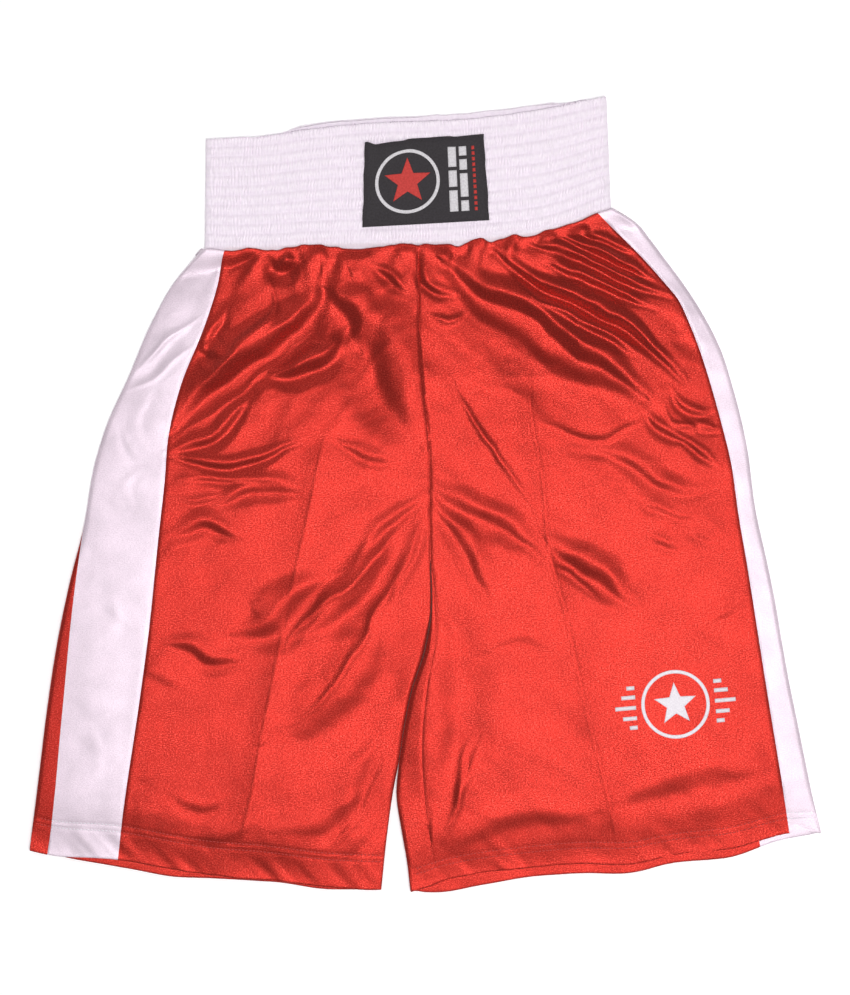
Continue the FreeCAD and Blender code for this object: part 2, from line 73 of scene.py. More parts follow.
class Through:
    """A smooth function through (place, value) pairs, straight beyond its ends."""

    def __init__(self, *pairs):
        table = np.array(sorted(pairs), float)
        self.at, self.value = table[:, 0], table[:, 1]
        self.slope = np.gradient(self.value, self.at)

    def __call__(self, place):
        place = np.asarray(place, float)
        k = np.clip(np.searchsorted(self.at, place) - 1, 0, len(self.at) - 2)
        gap = self.at[k + 1] - self.at[k]
        raw = (place - self.at[k]) / gap
        t = np.clip(raw, 0, 1)
        low, high = self.value[k], self.value[k + 1]
        ease = t * t * (3 - 2 * t)
        curve = low + (high - low) * ease + gap * (
            self.slope[k] * t * (1 - t) ** 2 - self.slope[k + 1] * t * t * (1 - t)
        )
        beyond = np.where(raw < 0, raw * self.slope[k], np.where(raw > 1, (raw - 1) * self.slope[k + 1], 0))
        return curve + beyond * gap


LATTICES = {}


def noise(x, y, cell, seed):
    """Smooth value noise from -1 to 1, with features about one cell across."""
    if seed not in LATTICES:
        LATTICES[seed] = np.random.RandomState(seed).rand(64, 64) * 2 - 1
    table = LATTICES[seed]
    u, v = np.broadcast_arrays(np.asarray(x, float) / cell, np.asarray(y, float) / cell)
    i, j = np.floor(u).astype(int), np.floor(v).astype(int)
    f, g = u - i, v - j
    f, g = (w * w * w * (w * (w * 6 - 15) + 10) for w in (f, g))
    low = table[i % 64, j % 64] * (1 - f) + table[(i + 1) % 64, j % 64] * f
    high = table[i % 64, (j + 1) % 64] * (1 - f) + table[(i + 1) % 64, (j + 1) % 64] * f
    return low * (1 - g) + high * g


# ---------------------------------------------------------------- outlines and seam lines: x for each y

OUT_RIGHT = Through((211, -192.5), (185, -215), (150, -235), (99, -257), (64, -273), (30, -284),
                    (-30, -295), (-73, -306), (-125, -317), (-191, -327), (-241, -333), (-305, -341))
OUT_LEFT = Through((250, 158), (245, 164.5), (234, 182), (221, 193), (207, 203.5), (185, 220),
                   (159, 237), (126, 254), (92, 265), (47, 276), (-16, 285), (-56, 294), (-90, 301),
                   (-125, 307), (-159, 313), (-193, 320), (-228, 327), (-262, 334), (-291, 341))
SEAM_RIGHT = Through((212, -172), (206, -174), (181, -179), (143, -191), (96, -210), (45, -222), (17, -224),
                     (-39, -230), (-125, -239), (-184, -247), (-279, -261), (-314, -265))
SEAM_LEFT = Through((243, 147), (241, 149), (223, 168), (205, 186), (186, 203), (169, 217), (148, 227),
                    (122, 237), (97, 245), (65, 254), (28, 263), (-20, 270), (-55, 276), (-118, 286),
                    (-181, 296), (-236, 305), (-287, 313))
REAR_RIGHT_BACK = Through((212, -174), (175, -195), (97, -238), (30, -268), (-31, -295.2))
REAR_RIGHT_FRONT = Through((-31, -295.2), (-81, -302), (-191, -313), (-294, -323.5), (-310, -326))
REAR_LEFT = Through((236, 104), (180, 158), (117, 204), (60, 226), (-6, 240), (-150, 265), (-300, 288))
CENTRE = Through((225, -6), (168, -6), (118, -4), (69, 1), (29, 4), (-10, 4), (-56, 4.5))
SPLIT = Through((-56, 4.5), (-105, 4.5), (-135, -1), (-169, -12), (-201, -18.5), (-231, -23), (-257, -26.5))
INNER_RIGHT_LOW = Through((-231, -23), (-257, -28), (-293, -33), (-340, -38))
INNER_LEFT_LOW = Through((-231, -23), (-257, -25), (-293, -20), (-316, -16), (-342, -13))
INSEAM_RIGHT = Through((-56, 4.5), (-112, -10), (-169, -36), (-338, -58))
INSEAM_LEFT = Through((-56, 4.5), (-112, 10), (-169, 1), (-218, -3), (-256, -1), (-325, 8), (-342, 10))

WAIST = Through((-200, 211), (-192, 211), (-160, 210), (-108, 212), (-50, 213), (4, 214), (64, 219),
                (116, 228), (147.5, 241), (161, 246), (170, 249))
HEM_RIGHT = Through((-345, -304.5), (-326, -309), (-265, -314), (-186, -327.5), (-141, -331), (-83, -338),
                    (-38, -340))
HEM_RIGHT_BACK = Through((-341, -305), (-311, -311), (-257, -321), (-233, -326), (-181, -329.5),
                         (-141, -332), (-83, -339), (-38, -340))
HEM_LEFT = Through((-12, -341), (20, -331), (47, -326), (87, -321), (137, -317), (175, -317), (213, -310),
                   (264, -304), (312, -292), (341, -291))
HEM_LEFT_BACK = Through((-12, -341), (20, -341), (50, -335), (87, -329), (137, -325), (175, -325),
                        (213, -317), (264, -311), (306, -297), (341, -291))


SPLIT_END_Y = -231.0                  # below here the legs part from each other
HALF_LEG_GAP = 0.03


def inner_right(y):
    """The right half's inner side: the centre seam, then the leg's inner edge."""
    leg = np.where(y > SPLIT_END_Y, SPLIT(y), INNER_RIGHT_LOW(y)) - HALF_LEG_GAP
    return np.where(y > CROTCH_Y, CENTRE(y), leg)


def inner_left(y):
    """The left half's inner side."""
    leg = np.where(y > SPLIT_END_Y, SPLIT(y), INNER_LEFT_LOW(y)) + HALF_LEG_GAP
    return np.where(y > CROTCH_Y, CENTRE(y), leg)


HEMS_PART_X = float(inner_left(-300.0)) - 3   # right of here is the left leg's hem


def inseam_right(y):
    """Where the right leg's front panel ends, on the layer underneath."""
    return np.where(y > CROTCH_Y, CENTRE(y), np.minimum(INSEAM_RIGHT(y), inner_right(y)))


def inseam_left(y):
    """Where the left leg's front panel ends, on the upper layer."""
    return np.where(y > CROTCH_Y, CENTRE(y), np.maximum(INSEAM_LEFT(y), inner_left(y)))


STRIPE_FOLD_Y = -31.0                 # above here the right stripe goes round the side


def rear_right_back(y):
    """The right stripe's rear seam while it lies on the lower layer."""
    return np.where(y > STRIPE_FOLD_Y, np.maximum(REAR_RIGHT_BACK(y), OUT_RIGHT(y)), OUT_RIGHT(y))


def rear_right_front(y):
    """The same seam where the twist brings it round to the upper layer."""
    return np.where(y > STRIPE_FOLD_Y, OUT_RIGHT(y), np.maximum(REAR_RIGHT_FRONT(y), OUT_RIGHT(y)))


def puffs(x):
    """The small puffs of the satin along its gathered edge."""
    inside = smooth((x + 186) / 20) * smooth((156 - x) / 18)
    return (noise(x, 0, 15, 3) + 0.55 * noise(x, 40, 7, 4)) * inside


def waist(x):
    """The gathered top edge of the satin, with its small scallops."""
    return WAIST(x) + 2.3 * puffs(x)


def hem(x, side, front):
    """y of a leg's hem, on the upper or the lower layer."""
    if side == "right":
        line, rear, low, high = HEM_RIGHT(x), HEM_RIGHT_BACK(x), -341, -38
    else:
        line, rear, low, high = HEM_LEFT(x), HEM_LEFT_BACK(x), -13, 341
    line = line + 0.9 * noise(x, 7, 26, 11)
    if front:
        return line
    reach = smooth(np.minimum(x - low, high - x) / 12)
    return line + (rear - line + 0.7 * noise(x, 9, 30, 12)) * reach


def row_y(x, v, side, front):
    """y of row v at x: 0 is the waist, 1 the crotch line and 2 the hem."""
    top = waist(x)
    seat = top + (CROTCH_Y - top) * v
    leg = CROTCH_Y + (v - 1) * (hem(x, side, front) - CROTCH_Y)
    return np.where(v <= 1, seat, leg)


# ---------------------------------------------------------------- how the cloth lies

SIDE_LEVEL = 5.2            # height of the front's cloth near its sides
BODY_RISE = 3.0             # how much higher it is well inside them
WAIST_RISE = 2.0            # and along the gathered waist
HEM_LEVEL = 4.0
BACK_LEVEL = 1.55
BAND_TOP = 8.8              # top of the waistband's front
MIDDLE = 3.6                # height of the folds at the sides
SIDE_ROUND = 4.2            # radius of the folds at the sides
BAND_WIDTH, BAND_HEIGHT = 352.0, 104.0
GROOVE_WIDTH = 1.3          # of the dip along a seam
HEM_ROWS = {"right": (24.0, 29.5), "left": (13.0, 18.0)}   # rows of stitches above each hem

# Folds of the front: half width, depth (below zero for a ridge), and the line the fold follows.
FOLDS = [
    # wearer's right, from the gathers down to the side
    (9.5, 14, (-92, 190), (-96, 166), (-120, 139), (-154, 114), (-188, 88), (-213, 60)),
    (2.4, -1.8, (-100, 141), (-133, 113), (-163, 86), (-211, 52)),
    (4, -2.2, (-136, 190), (-128, 166), (-156, 130), (-192, 95)),
    (6.5, 8, (-70, 140), (-85, 120), (-112, 106), (-146, 99)),
    (4, 5, (-150, 88), (-176, 54), (-222, 36)),
    (3.4, 4.6, (-224, 37), (-176, 27), (-151, 29), (-104, 46)),
    (5, 4.4, (-182, -8), (-147, 6), (-104, 3)),
    (5, 4.4, (-218, -36), (-190, -26), (-158, -38)),
    (3.6, 2, (-80, 45), (-50, 34), (-20, 27)),
    (4.6, 3.2, (-194, 122), (-172, 118)),
    (4.2, 2.8, (-172, 160), (-190, 118)),
    (3.4, 3, (-44, 194), (-18, 174)),
    (9, 7, (-86, 176), (-70, 160), (-58, 128)),
    (15, 8, (-64, 184), (-42, 126), (-20, 70), (-4, 46)),
    (3.4, 2.8, (-5, 212), (4, 176), (28, 172)),
    (3, -1.6, (0, 156), (20, 148), (36, 158)),
    (6, 7, (-134, 207), (-126, 198), (-110, 202)),
    (2.6, 2, (-214, 12), (-180, 15), (-120, 10)),
    (2.4, 1.7, (-216, -4), (-196, -7), (-170, 2)),
    # out from the crotch
    (4.4, 3.6, (0, 1), (-30, -24), (-58, -60)),
    (6.5, 5.2, (0, 12), (34, -8), (66, -26), (104, -54)),
    (6, 4.4, (3, -2), (22, -26), (42, -56), (58, -96)),
    (3.4, 2.2, (2, -12), (-14, -60), (-30, -92)),
    # wearer's left, from the gathers out to the side
    (8.5, 12, (16, 202), (52, 174), (90, 157), (120, 131), (150, 112), (188, 84)),
    (4.6, 9, (60, 212), (92, 184), (132, 166), (165, 149), (196, 125), (222, 100)),
    (4.4, 5.5, (92, 169), (141, 143), (178, 120)),
    (3.4, 6, (112, 220), (153, 205), (195, 186)),
    (3.4, 5.4, (86, 219), (132, 203), (168, 185), (211, 171)),
    (3, 4, (100, 202), (145, 181), (199, 160)),
    (2.6, 2.6, (131, 226), (181, 208)),
    (2.6, -1.8, (20, 102), (50, 52), (75, 15), (98, -18)),
    (5, 3, (130, 40), (165, 36), (197, 14), (230, 2), (252, 8)),
    (3.4, 2.8, (186, 72), (200, 58), (213, 51), (228, 47)),
    (2.8, 2.8, (214, 52), (232, 40), (252, 24)),
    (3, 2.4, (212, 90), (222, 76), (236, 70), (250, 74)),
    (2.6, -1.4, (206, 78), (214, 62), (230, 60), (246, 52)),
    (2.6, 2.0, (228, 66), (240, 58), (254, 56)),
    (3, -1.4, (100, 64), (150, 48), (190, 66)),
    (8, 8, (105, -38), (131, -57), (156, -74), (176, -92)),
    (2.6, -1.4, (108, -61), (129, -72), (150, -90)),
    (3.2, 1.8, (190, -34), (222, -48)),
    (2.8, 1.4, (222, -30), (257, -40)),
    (3.2, 1.2, (244, -112), (256, -106), (270, -98)),
    (2.6, 1.6, (176, 2), (206, -14), (240, -20)),
    # wearer's right leg
    (9, 8.4, (-167, -121), (-138, -116), (-118, -97), (-79, -72)),
    (9, 8.4, (-108, -119), (-82, -110), (-58, -86), (-36, -56), (-18, -26)),
    (3, -1.6, (-125, -140), (-119, -120), (-92, -99), (-62, -77), (-14, -20)),
    (3, -2, (-118, -199), (-84, -172), (-60, -134), (-42, -96), (-16, -62)),
    (16, 9, (-134, -212), (-98, -200), (-60, -172), (-40, -134), (-30, -100)),
    (5.5, 4.4, (-230, -128), (-201, -134), (-187, -143), (-158, -144)),
    (5, 1.1, (-250, -148), (-232, -158), (-208, -166)),
    (6, 0.9, (-258, -240), (-240, -248), (-212, -240)),
    (4.4, 1.7, (-222, -256), (-204, -268), (-186, -272), (-166, -256)),
    (7, 3.2, (-128, -289), (-93, -287), (-66, -271), (-46, -252)),
    (3, -1.6, (-90, -306), (-66, -291), (-41, -250), (-26, -210)),
    (3.4, 1.2, (-230, -60), (-203, -42)),
    (4, 1.8, (-150, -286), (-176, -300), (-205, -296)),
    (5, 2, (-70, -318), (-48, -290), (-38, -262)),
    # wearer's left leg
    (9, 4, (22, -309), (61, -287), (110, -277), (145, -275)),
    (9, 4, (165, -266), (202, -254), (237, -246), (288, -238)),
    (7, 4, (-44, -214), (-56, -256), (-60, -300)),
    (3.4, -2.4, (18, -298), (30, -257), (34, -222), (43, -203)),
    (3.4, -1.8, (24, -283), (38, -241), (48, -208)),
    (5, 1.1, (48, -136), (84, -124), (112, -138)),
    (15, 8, (14, -84), (19, -150), (15, -215), (6, -275)),
    # the white side stripes
    (3, -2, (-196, 154), (-224, 130), (-249, 108)),
    (3, -1.8, (-199, 126), (-228, 106), (-256, 91)),
    (6, 2.4, (-205, 140), (-235, 116), (-258, 100)),
    (4.4, 1.2, (-236, 86), (-246, 64), (-238, 42)),
    (3.4, 1.1, (-262, 60), (-250, 34), (-230, 30)),
    (3, 0.9, (-244, 22), (-256, 6), (-248, -14)),
    (4.6, 0.9, (-282, 4), (-262, -12), (-236, -6)),
    (6, 0.9, (-292, -40), (-266, -60), (-240, -52)),
    (5, 0.8, (-270, -78), (-262, -112), (-282, -140)),
    (5, 0.8, (-306, -110), (-280, -100), (-248, -118)),
    (6, 0.8, (-310, -168), (-286, -188), (-258, -176)),
    (4, 0.7, (-284, -196), (-276, -228), (-290, -250)),
    (6, 0.9, (-316, -222), (-294, -212), (-266, -232)),
    (6, 0.8, (-320, -270), (-296, -282), (-270, -268)),
    (3, 1.1, (284, -64), (296, -72)),
    (3, 1.2, (276, -40), (290, -34)),
    (3.6, 0.9, (298, -128), (314, -138)),
    (3.6, 1.0, (304, -196), (322, -190)),
    (3.6, 0.9, (312, -246), (330, -252)),
]
# Creases ironed down the middle of each leg.
CREASES = [
    ((-84, 63), (-99, -10), (-109, -56), (-121, -109), (-131, -162), (-141, -212), (-151, -267),
     (-158, -294)),
    ((92, 120), (90, 78), (101, 13), (107, -50), (120, -99), (136, -175), (153, -243), (167, -304)),
]


def line_through(points, count=7):
    """A smooth line of points through the given ones."""
    points = np.array(points, float)
    place = np.concatenate([[0], np.cumsum(np.hypot(*np.diff(points, axis=0).T))])
    spans = [np.linspace(a, b, count, endpoint=False) for a, b in zip(place, place[1:])]
    fine = np.concatenate(spans + [place[-1:]])
    return np.stack([Through(*zip(place, points[:, k]))(fine) for k in (0, 1)], 1)


def distance(x, y, line):
    """Distance to a line, above zero on its left, and how far along it the nearest place is, from 0 to 1."""
    best = np.full(x.shape, 1e9)
    signed = np.full(x.shape, 1e9)
    along = np.zeros(x.shape)
    total = np.hypot(*np.diff(line, axis=0).T).sum()
    done = 0.0
    for (ax, ay), (bx, by) in zip(line, line[1:]):
        dx, dy = bx - ax, by - ay
        length = math.hypot(dx, dy)
        t = np.clip(((x - ax) * dx + (y - ay) * dy) / length ** 2, 0, 1)
        gap = np.hypot(x - ax - t * dx, y - ay - t * dy)
        nearer = gap < best
        best = np.where(nearer, gap, best)
        signed = np.where(nearer, np.where(dx * (y - ay) - dy * (x - ax) < 0, -gap, gap), signed)
        along = np.where(nearer, (done + t * length) / total, along)
        done += length
    return signed, along


def fold_shape(t):
    """Across a fold: up to a crest (t below 0), steeply down past its line, and slowly back up."""
    s = np.clip(t / 0.95, -1, 1)
    drop = np.where(s < 0, 1.57 * s + 0.57 * np.abs(s) ** 2.2, np.sin(s * math.pi / 2))
    return -0.55 * drop * (1 - smooth((np.abs(t) - 0.95) / 2.3))


def folds(x, y):
    """Height that the folds add to the front."""
    height = np.zeros(x.shape)
    for width, depth, *points in FOLDS:
        line = line_through(points)
        reach = 4.2 * width
        near = ((x > line[:, 0].min() - reach) & (x < line[:, 0].max() + reach)
                & (y > line[:, 1].min() - reach) & (y < line[:, 1].max() + reach))
        if not near.any():
            continue
        px = x[near] + 1.6 * noise(x[near], y[near], 17, 21) + 2.2 * noise(x[near], y[near], 41, 23)
        py = y[near] + 1.6 * noise(x[near], y[near], 17, 22) + 2.2 * noise(x[near], y[near], 41, 24)
        gap, along = distance(px, py, line)
        gap = gap * (-1 if points[-1][0] > points[0][0] else 1)
        fade = smooth(along / 0.4) * smooth((1 - along) / 0.4)
        beyond = np.where((along <= 0) | (along >= 1), bell(gap / (1.2 * width)), 1)
        t = gap / (width * (0.5 + 0.5 * fade))
        shape = fold_shape(t) if depth > 0 else -bell(t) * 1.1
        height[near] += depth * (0.12 + 0.88 * fade) * beyond * shape
    return height * (0.54 + 0.42 * smooth((y + 10) / 110)) * (1 - 0.45 * on_stripe(x, y))


def on_stripe(x, y, blur=5):
    """1 on the white side stripes, 0 on the red."""
    return smooth((SEAM_RIGHT(y) - x) / blur + 0.4) + smooth((x - SEAM_LEFT(y)) / blur + 0.4)


def gathers(x, y):
    """The fan of small pleats under the waistband."""
    left, right = OUT_RIGHT(y), OUT_LEFT(y)
    u = (x - left) / (right - left) * BAND_WIDTH
    down = np.clip(waist(x) - y, 0, None)
    long = noise(u, down * 0.05, 13, 31) * np.exp(-down / 42)
    short = noise(u, down * 0.08, 7, 32) * np.exp(-down / 15)
    wide = noise(u, down * 0.03, 30, 33) * np.exp(-down / 75)
    edge = puffs(x + 0.25 * down * np.sign(x)) * np.exp(-down / 17)
    return 2.5 * long + 1.2 * short + 1.6 * wide + 2.1 * edge


def edge_rise(x, y):
    """From 0 at the sides of the garment to 1 well inside it."""
    side = np.minimum(x - OUT_RIGHT(y), OUT_LEFT(y) - x)
    split = np.abs(x - np.where(y > CROTCH_Y, CENTRE(y), SPLIT(y)))
    apart = smooth((-90 - y) / 60)
    whole = 1 - np.exp(-np.clip(side, 0, None) / 34)
    parted = 1 - np.exp(-np.clip(np.minimum(side, split), 0, None) / 34)
    return whole + (parted - whole) * apart


def side_far(x, y):
    """0 at the sides of the garment, 1 from 60 mm inside them."""
    return smooth(np.minimum(x - OUT_RIGHT(y), OUT_LEFT(y) - x) / 60)


def groove(x, y, line, low=-400, high=300):
    """1 along a seam, x = line(y), between two heights."""
    return bell((x - line(y)) / GROOVE_WIDTH) * smooth((y - low) / 6) * smooth((high - y) / 6)


def undulation(x, y):
    """Soft unevenness of the cloth, drawn out along the way it is pulled."""
    side = np.where(x < CENTRE(np.clip(y, CROTCH_Y, 300)), -1, 1)
    slant = x * side
    z = 1.5 * noise(x + 0.4 * y * side, y * 0.8, 58, 41)
    z += 0.75 * noise(slant + y, y * 0.45 - slant * 0.2, 27, 42)
    z += 0.30 * noise(slant * 0.7 + y, (slant - y) * 0.4, 13, 45) + 0.12 * noise(x, y, 7, 43)
    bend_x = x + 9 * noise(x, y, 38, 48)
    bend_y = y + 9 * noise(x, y, 38, 49)
    lively = 0.55 + 0.75 * smooth((y + 60) / 200)
    crumple = 2.2 * (0.4 - np.abs(noise(bend_x + 0.5 * bend_y * side, bend_y * 0.62, 44, 47)))
    crumple += 1.0 * (0.4 - np.abs(noise(bend_x * 0.8, bend_y + 0.5 * bend_x * side, 26, 50)))
    calm = (1 - 0.6 * on_stripe(x, y, 22)) * (0.62 + 0.38 * smooth(y / 150))
    return (0.9 * z + 0.47 * crumple * lively) * calm


def front_height(x, y):
    """Height of the upper layer, away from the folds at its sides."""
    down = waist(x) - y
    z = SIDE_LEVEL + BODY_RISE * edge_rise(x, y)
    z += WAIST_RISE * np.exp(-np.clip(down, 0, None) / 36) * side_far(x, y)
    z += gathers(x, y) + folds(x, y)
    z += undulation(x, y)
    for points in CREASES:
        gap, along = distance(x, y, line_through(points, 3))
        z += (0.5 * bell(gap / 1.5) + 0.9 * bell(gap / 9)) * smooth(along / 0.1)
    z -= 0.75 * groove(x, y, SEAM_RIGHT) + 0.75 * groove(x, y, SEAM_LEFT)
    z -= 0.8 * groove(x, y, CENTRE, low=CROTCH_Y - 6)
    z -= 0.5 * groove(x, y, inseam_left, high=CROTCH_Y)
    above = hem_above(x, y)
    rises = np.where(x < HEMS_PART_X, HEM_ROWS["right"][0], HEM_ROWS["left"][0])
    rows = bell((above - rises) / 1.1) + bell((above - rises - 5.2) / 1.1)
    z -= 0.5 * rows
    z += 0.45 * noise(x, y * 0.15, 9, 46) * bell((above - rises) / 14)
    floor = back_height(x, y) + 1.2
    z = floor + np.logaddexp(0, (z - floor) / 1.2) * 1.2
    at_band = BAND_TOP + 1.6 + 1.3 * np.clip(puffs(x), 0, 1)
    z = at_band + (z - at_band) * smooth(down / (26 - 16 * side_far(x, y)))
    to_hem = smooth((above - 2) / 46)
    level = HEM_LEVEL + 0.45 * noise(x, 3, 24, 44) + 0.4 * noise(x + 0.9 * y, y * 0.4, 10, 53)
    return z * to_hem + level * (1 - to_hem)


def hem_above(x, y):
    """How far a place on the front is above its hem."""
    return y - np.where(x < HEMS_PART_X, HEM_RIGHT(x), HEM_LEFT(x))


def back_height(x, y):
    """Height of the lower layer, which lies on the floor."""
    return BACK_LEVEL + 0.62 * noise(x, y * 0.7, 48, 51) + 0.24 * noise(x + y, y, 17, 52)


def quarter(gap, radius):
    """The height of a quarter circle, from 0 at no gap to 1 at a gap of one radius."""
    t = 1 - np.clip(gap / radius, 0, 1)
    return np.sqrt(np.clip(1 - t * t, 0, 1))


def side_roundness(x, y):
    """0 on a side fold, 1 past its curve."""
    near_waist = smooth((y - WAIST(x) + 20) / 20)
    radius = SIDE_ROUND + 0.8 * near_waist
    factor = quarter(x - OUT_RIGHT(y), radius) * quarter(OUT_LEFT(y) - x, radius)
    strength = smooth((CROTCH_Y - 1 - y) / 7)
    centre = (inner_right(y) + inner_left(y)) / 2
    gap = np.where(x < centre, inner_right(y) - x, x - inner_left(y))
    inner = quarter(np.clip(gap, 0, None), leg_round(y))
    return factor * (1 - strength * (1 - inner))


def leg_round(y):
    """Radius of the fold at the inner side of a leg."""
    return 0.5 + 3.6 * smooth((-92 - y) / 45)


def middle(x, y):
    """Height where the two layers meet at a side fold."""
    return MIDDLE + 0.5 * noise(y, 0, 50, 61) + 1.1 * smooth((y - WAIST(x) + 25) / 25)


def surface(x, y, front):
    """Height of one layer at a place, with the rounded folds at the sides."""
    level = front_height(x, y) if front else back_height(x, y)
    low = middle(x, y)
    return low + (level - low) * side_roundness(x, y)


# ---------------------------------------------------------------- meshes

def make_piece(name, patches, material, merge=True):
    """One mesh from grids of points: each patch is (points, cloth coordinates, which way it faces)."""
    verts, faces, coords = [], [], []
    count = 0
    for points, flat, facing in patches:
        rows, cols = points.shape[:2]
        verts.append(points.reshape(-1, 3) * MM)
        coords.append(flat.reshape(-1, 2))
        index = count + np.arange(rows * cols).reshape(rows, cols)
        quads = np.stack([index[:-1, :-1], index[:-1, 1:], index[1:, 1:], index[1:, :-1]], -1).reshape(-1, 4)
        faces.append(quads if facing > 0 else quads[:, ::-1])
        count += rows * cols
    verts, faces, coords = np.concatenate(verts), np.concatenate(faces), np.concatenate(coords)
    data = bpy.data.meshes.new(name)
    data.from_pydata(verts.tolist(), [], faces.tolist())
    layer = data.uv_layers.new(name="cloth")
    corner = np.zeros(len(data.loops), np.int32)
    data.loops.foreach_get("vertex_index", corner)
    layer.data.foreach_set("uv", (coords[corner] / 100).astype(np.float32).ravel())
    if merge:
        work = bmesh.new()
        work.from_mesh(data)
        bmesh.ops.remove_doubles(work, verts=work.verts, dist=2e-6)
        bmesh.ops.dissolve_degenerate(work, edges=work.edges, dist=1e-6)
        loose = [v for v in work.verts if not v.link_faces]
        bmesh.ops.delete(work, geom=loose, context="VERTS")
        work.to_mesh(data)
        work.free()
    data.polygons.foreach_set("use_smooth", [True] * len(data.polygons))
    data.update()
    piece = bpy.data.objects.new(name, data)
    bpy.context.scene.collection.objects.link(piece)
    data.materials.append(material)
    return piece


def normals(points):
    """Unit normals of a grid of points, taken across its rows and columns."""
    n = np.cross(np.gradient(points, axis=1), np.gradient(points, axis=0))
    size = np.linalg.norm(n, axis=-1, keepdims=True)
    return n / np.where(size < 1e-9, 1, size)


SEAT_ROWS = np.concatenate([np.linspace(0, 0.06, max(4, int(17 / (0.6 * STEP))), endpoint=False),
                            np.linspace(0.06, 1, int(265 / STEP), endpoint=False)])
LEG_ROWS = np.concatenate([1 + np.linspace(0, 0.965, int(255 / STEP), endpoint=False),
                           1 + np.linspace(0.965, 1, max(4, int(9 / (0.6 * STEP))))])
ROWS = np.concatenate([SEAT_ROWS, LEG_ROWS])
QUARTER = 1 - np.cos(np.radians([0, 15, 30, 45, 60, 75]))


def columns(folded, count):
    """The columns of a patch, as shares of its start fold's radius and of its width."""
    even = np.linspace(0, 1, count)
    if not folded:
        return np.stack([0 * even, even])
    return np.concatenate([np.stack([QUARTER, 0 * QUARTER]), np.stack([1 - even, even])], 1)


def place_grid(start, end, side, front, fold, step):
    """x and y of a patch between two lines, with its columns closer together at its fold."""
    rough = np.interp(ROWS, [0, 1, 2], [220, CROTCH_Y, -325])
    count = max(4, int(np.abs(end(rough) - start(rough)).max() / step))
    share = columns(fold, count)
    y = np.repeat(rough[:, None], share.shape[1], 1)
    for _ in range(7):
        a, b = start(y), end(y)
        width = np.abs(b - a)
        radius = np.minimum(fold(y), 0.45 * width) if fold else 0
        t = share[0] * radius + share[1] * width
        x = a + np.where(b >= a, 1, -1) * t
        y = row_y(x, ROWS[:, None], side, front)
    return x, y


def turned(edge, ahead, normal, radius, steps=6):
    """Rows that turn an edge over by half a turn, to the inside."""
    rows = []
    for angle in np.linspace(0, math.pi, steps + 1)[1:]:
        rows.append(edge + ahead * radius * math.sin(angle) - normal * radius * (1 - math.cos(angle)))
    return rows


def unit(v):
    """Vectors of length 1."""
    return v / np.maximum(np.linalg.norm(v, axis=-1, keepdims=True), 1e-9)


HEM_ALLOWANCE = 26
WAIST_ALLOWANCE = 6


def patch(start, end, side, front, fold=None, top=True, bottom=True, mirror=None):
    """One layer of a panel between two lines, with its turned edges at the waist and at the hem.

    fold gives the radius of the side fold at its start, and mirror the line that its flat cloth
    coordinates are turned over on.
    """
    x, y = place_grid(start, end, side, front, fold, STEP * (1 if front else 1.7))
    points = np.stack([x, y, surface(x, y, front)], -1)
    flat = np.stack([x if mirror is None else 2 * mirror(y) - x, y], -1)
    n = normals(points)
    facing = 1 if front else -1
    n *= 1 if np.median(n[..., 2]) * facing > 0 else -1
    outward = 1 if (start(y) - end(y)).sum() > 0 else -1
    if fold:
        n[:, 0] = (outward, 0, 0)
    grid = list(points)
    sheet = list(flat)
    if bottom:
        ahead = unit(points[-1] - points[-3])
        hem_rows = [k for k in range(2, len(ROWS)) if np.median(y[-k] - y[-1]) < HEM_ALLOWANCE][::2]
        extra = turned(points[-1], ahead, n[-1], ROLL) + [points[-k] - 2 * ROLL * n[-k] for k in hem_rows]
        grid += extra
        sheet += [flat[-1] - np.array([0, 0.5 * k]) for k in range(len(extra) - len(hem_rows))]
        sheet += [2 * flat[-1] - flat[-k] - np.array([0, 3.0]) for k in hem_rows]
    if top:
        ahead = unit(points[0] - points[2])
        waist_rows = [k for k in range(1, len(ROWS)) if np.median(y[0] - y[k]) < WAIST_ALLOWANCE]
        extra = turned(points[0], ahead, n[0], ROLL) + [points[k] - 2 * ROLL * n[k] for k in waist_rows]
        grid = extra[::-1] + grid
        over = [flat[0] + np.array([0, 0.5 * k]) for k in range(len(extra) - len(waist_rows))]
        over += [2 * flat[0] - flat[k] + np.array([0, 3.0]) for k in waist_rows]
        sheet = over[::-1] + sheet
    grid, sheet = np.stack(grid), np.stack(sheet)
    return grid, sheet, facing * outward


def outer_round(y):
    """Radius of the fold at the outer sides."""
    return np.full(np.shape(y), SIDE_ROUND)


def stripe_round(y):
    """The right stripe's fold, which runs out where the stripe lies wholly on the front."""
    return SIDE_ROUND * smooth((y - STRIPE_FOLD_Y) / 14)


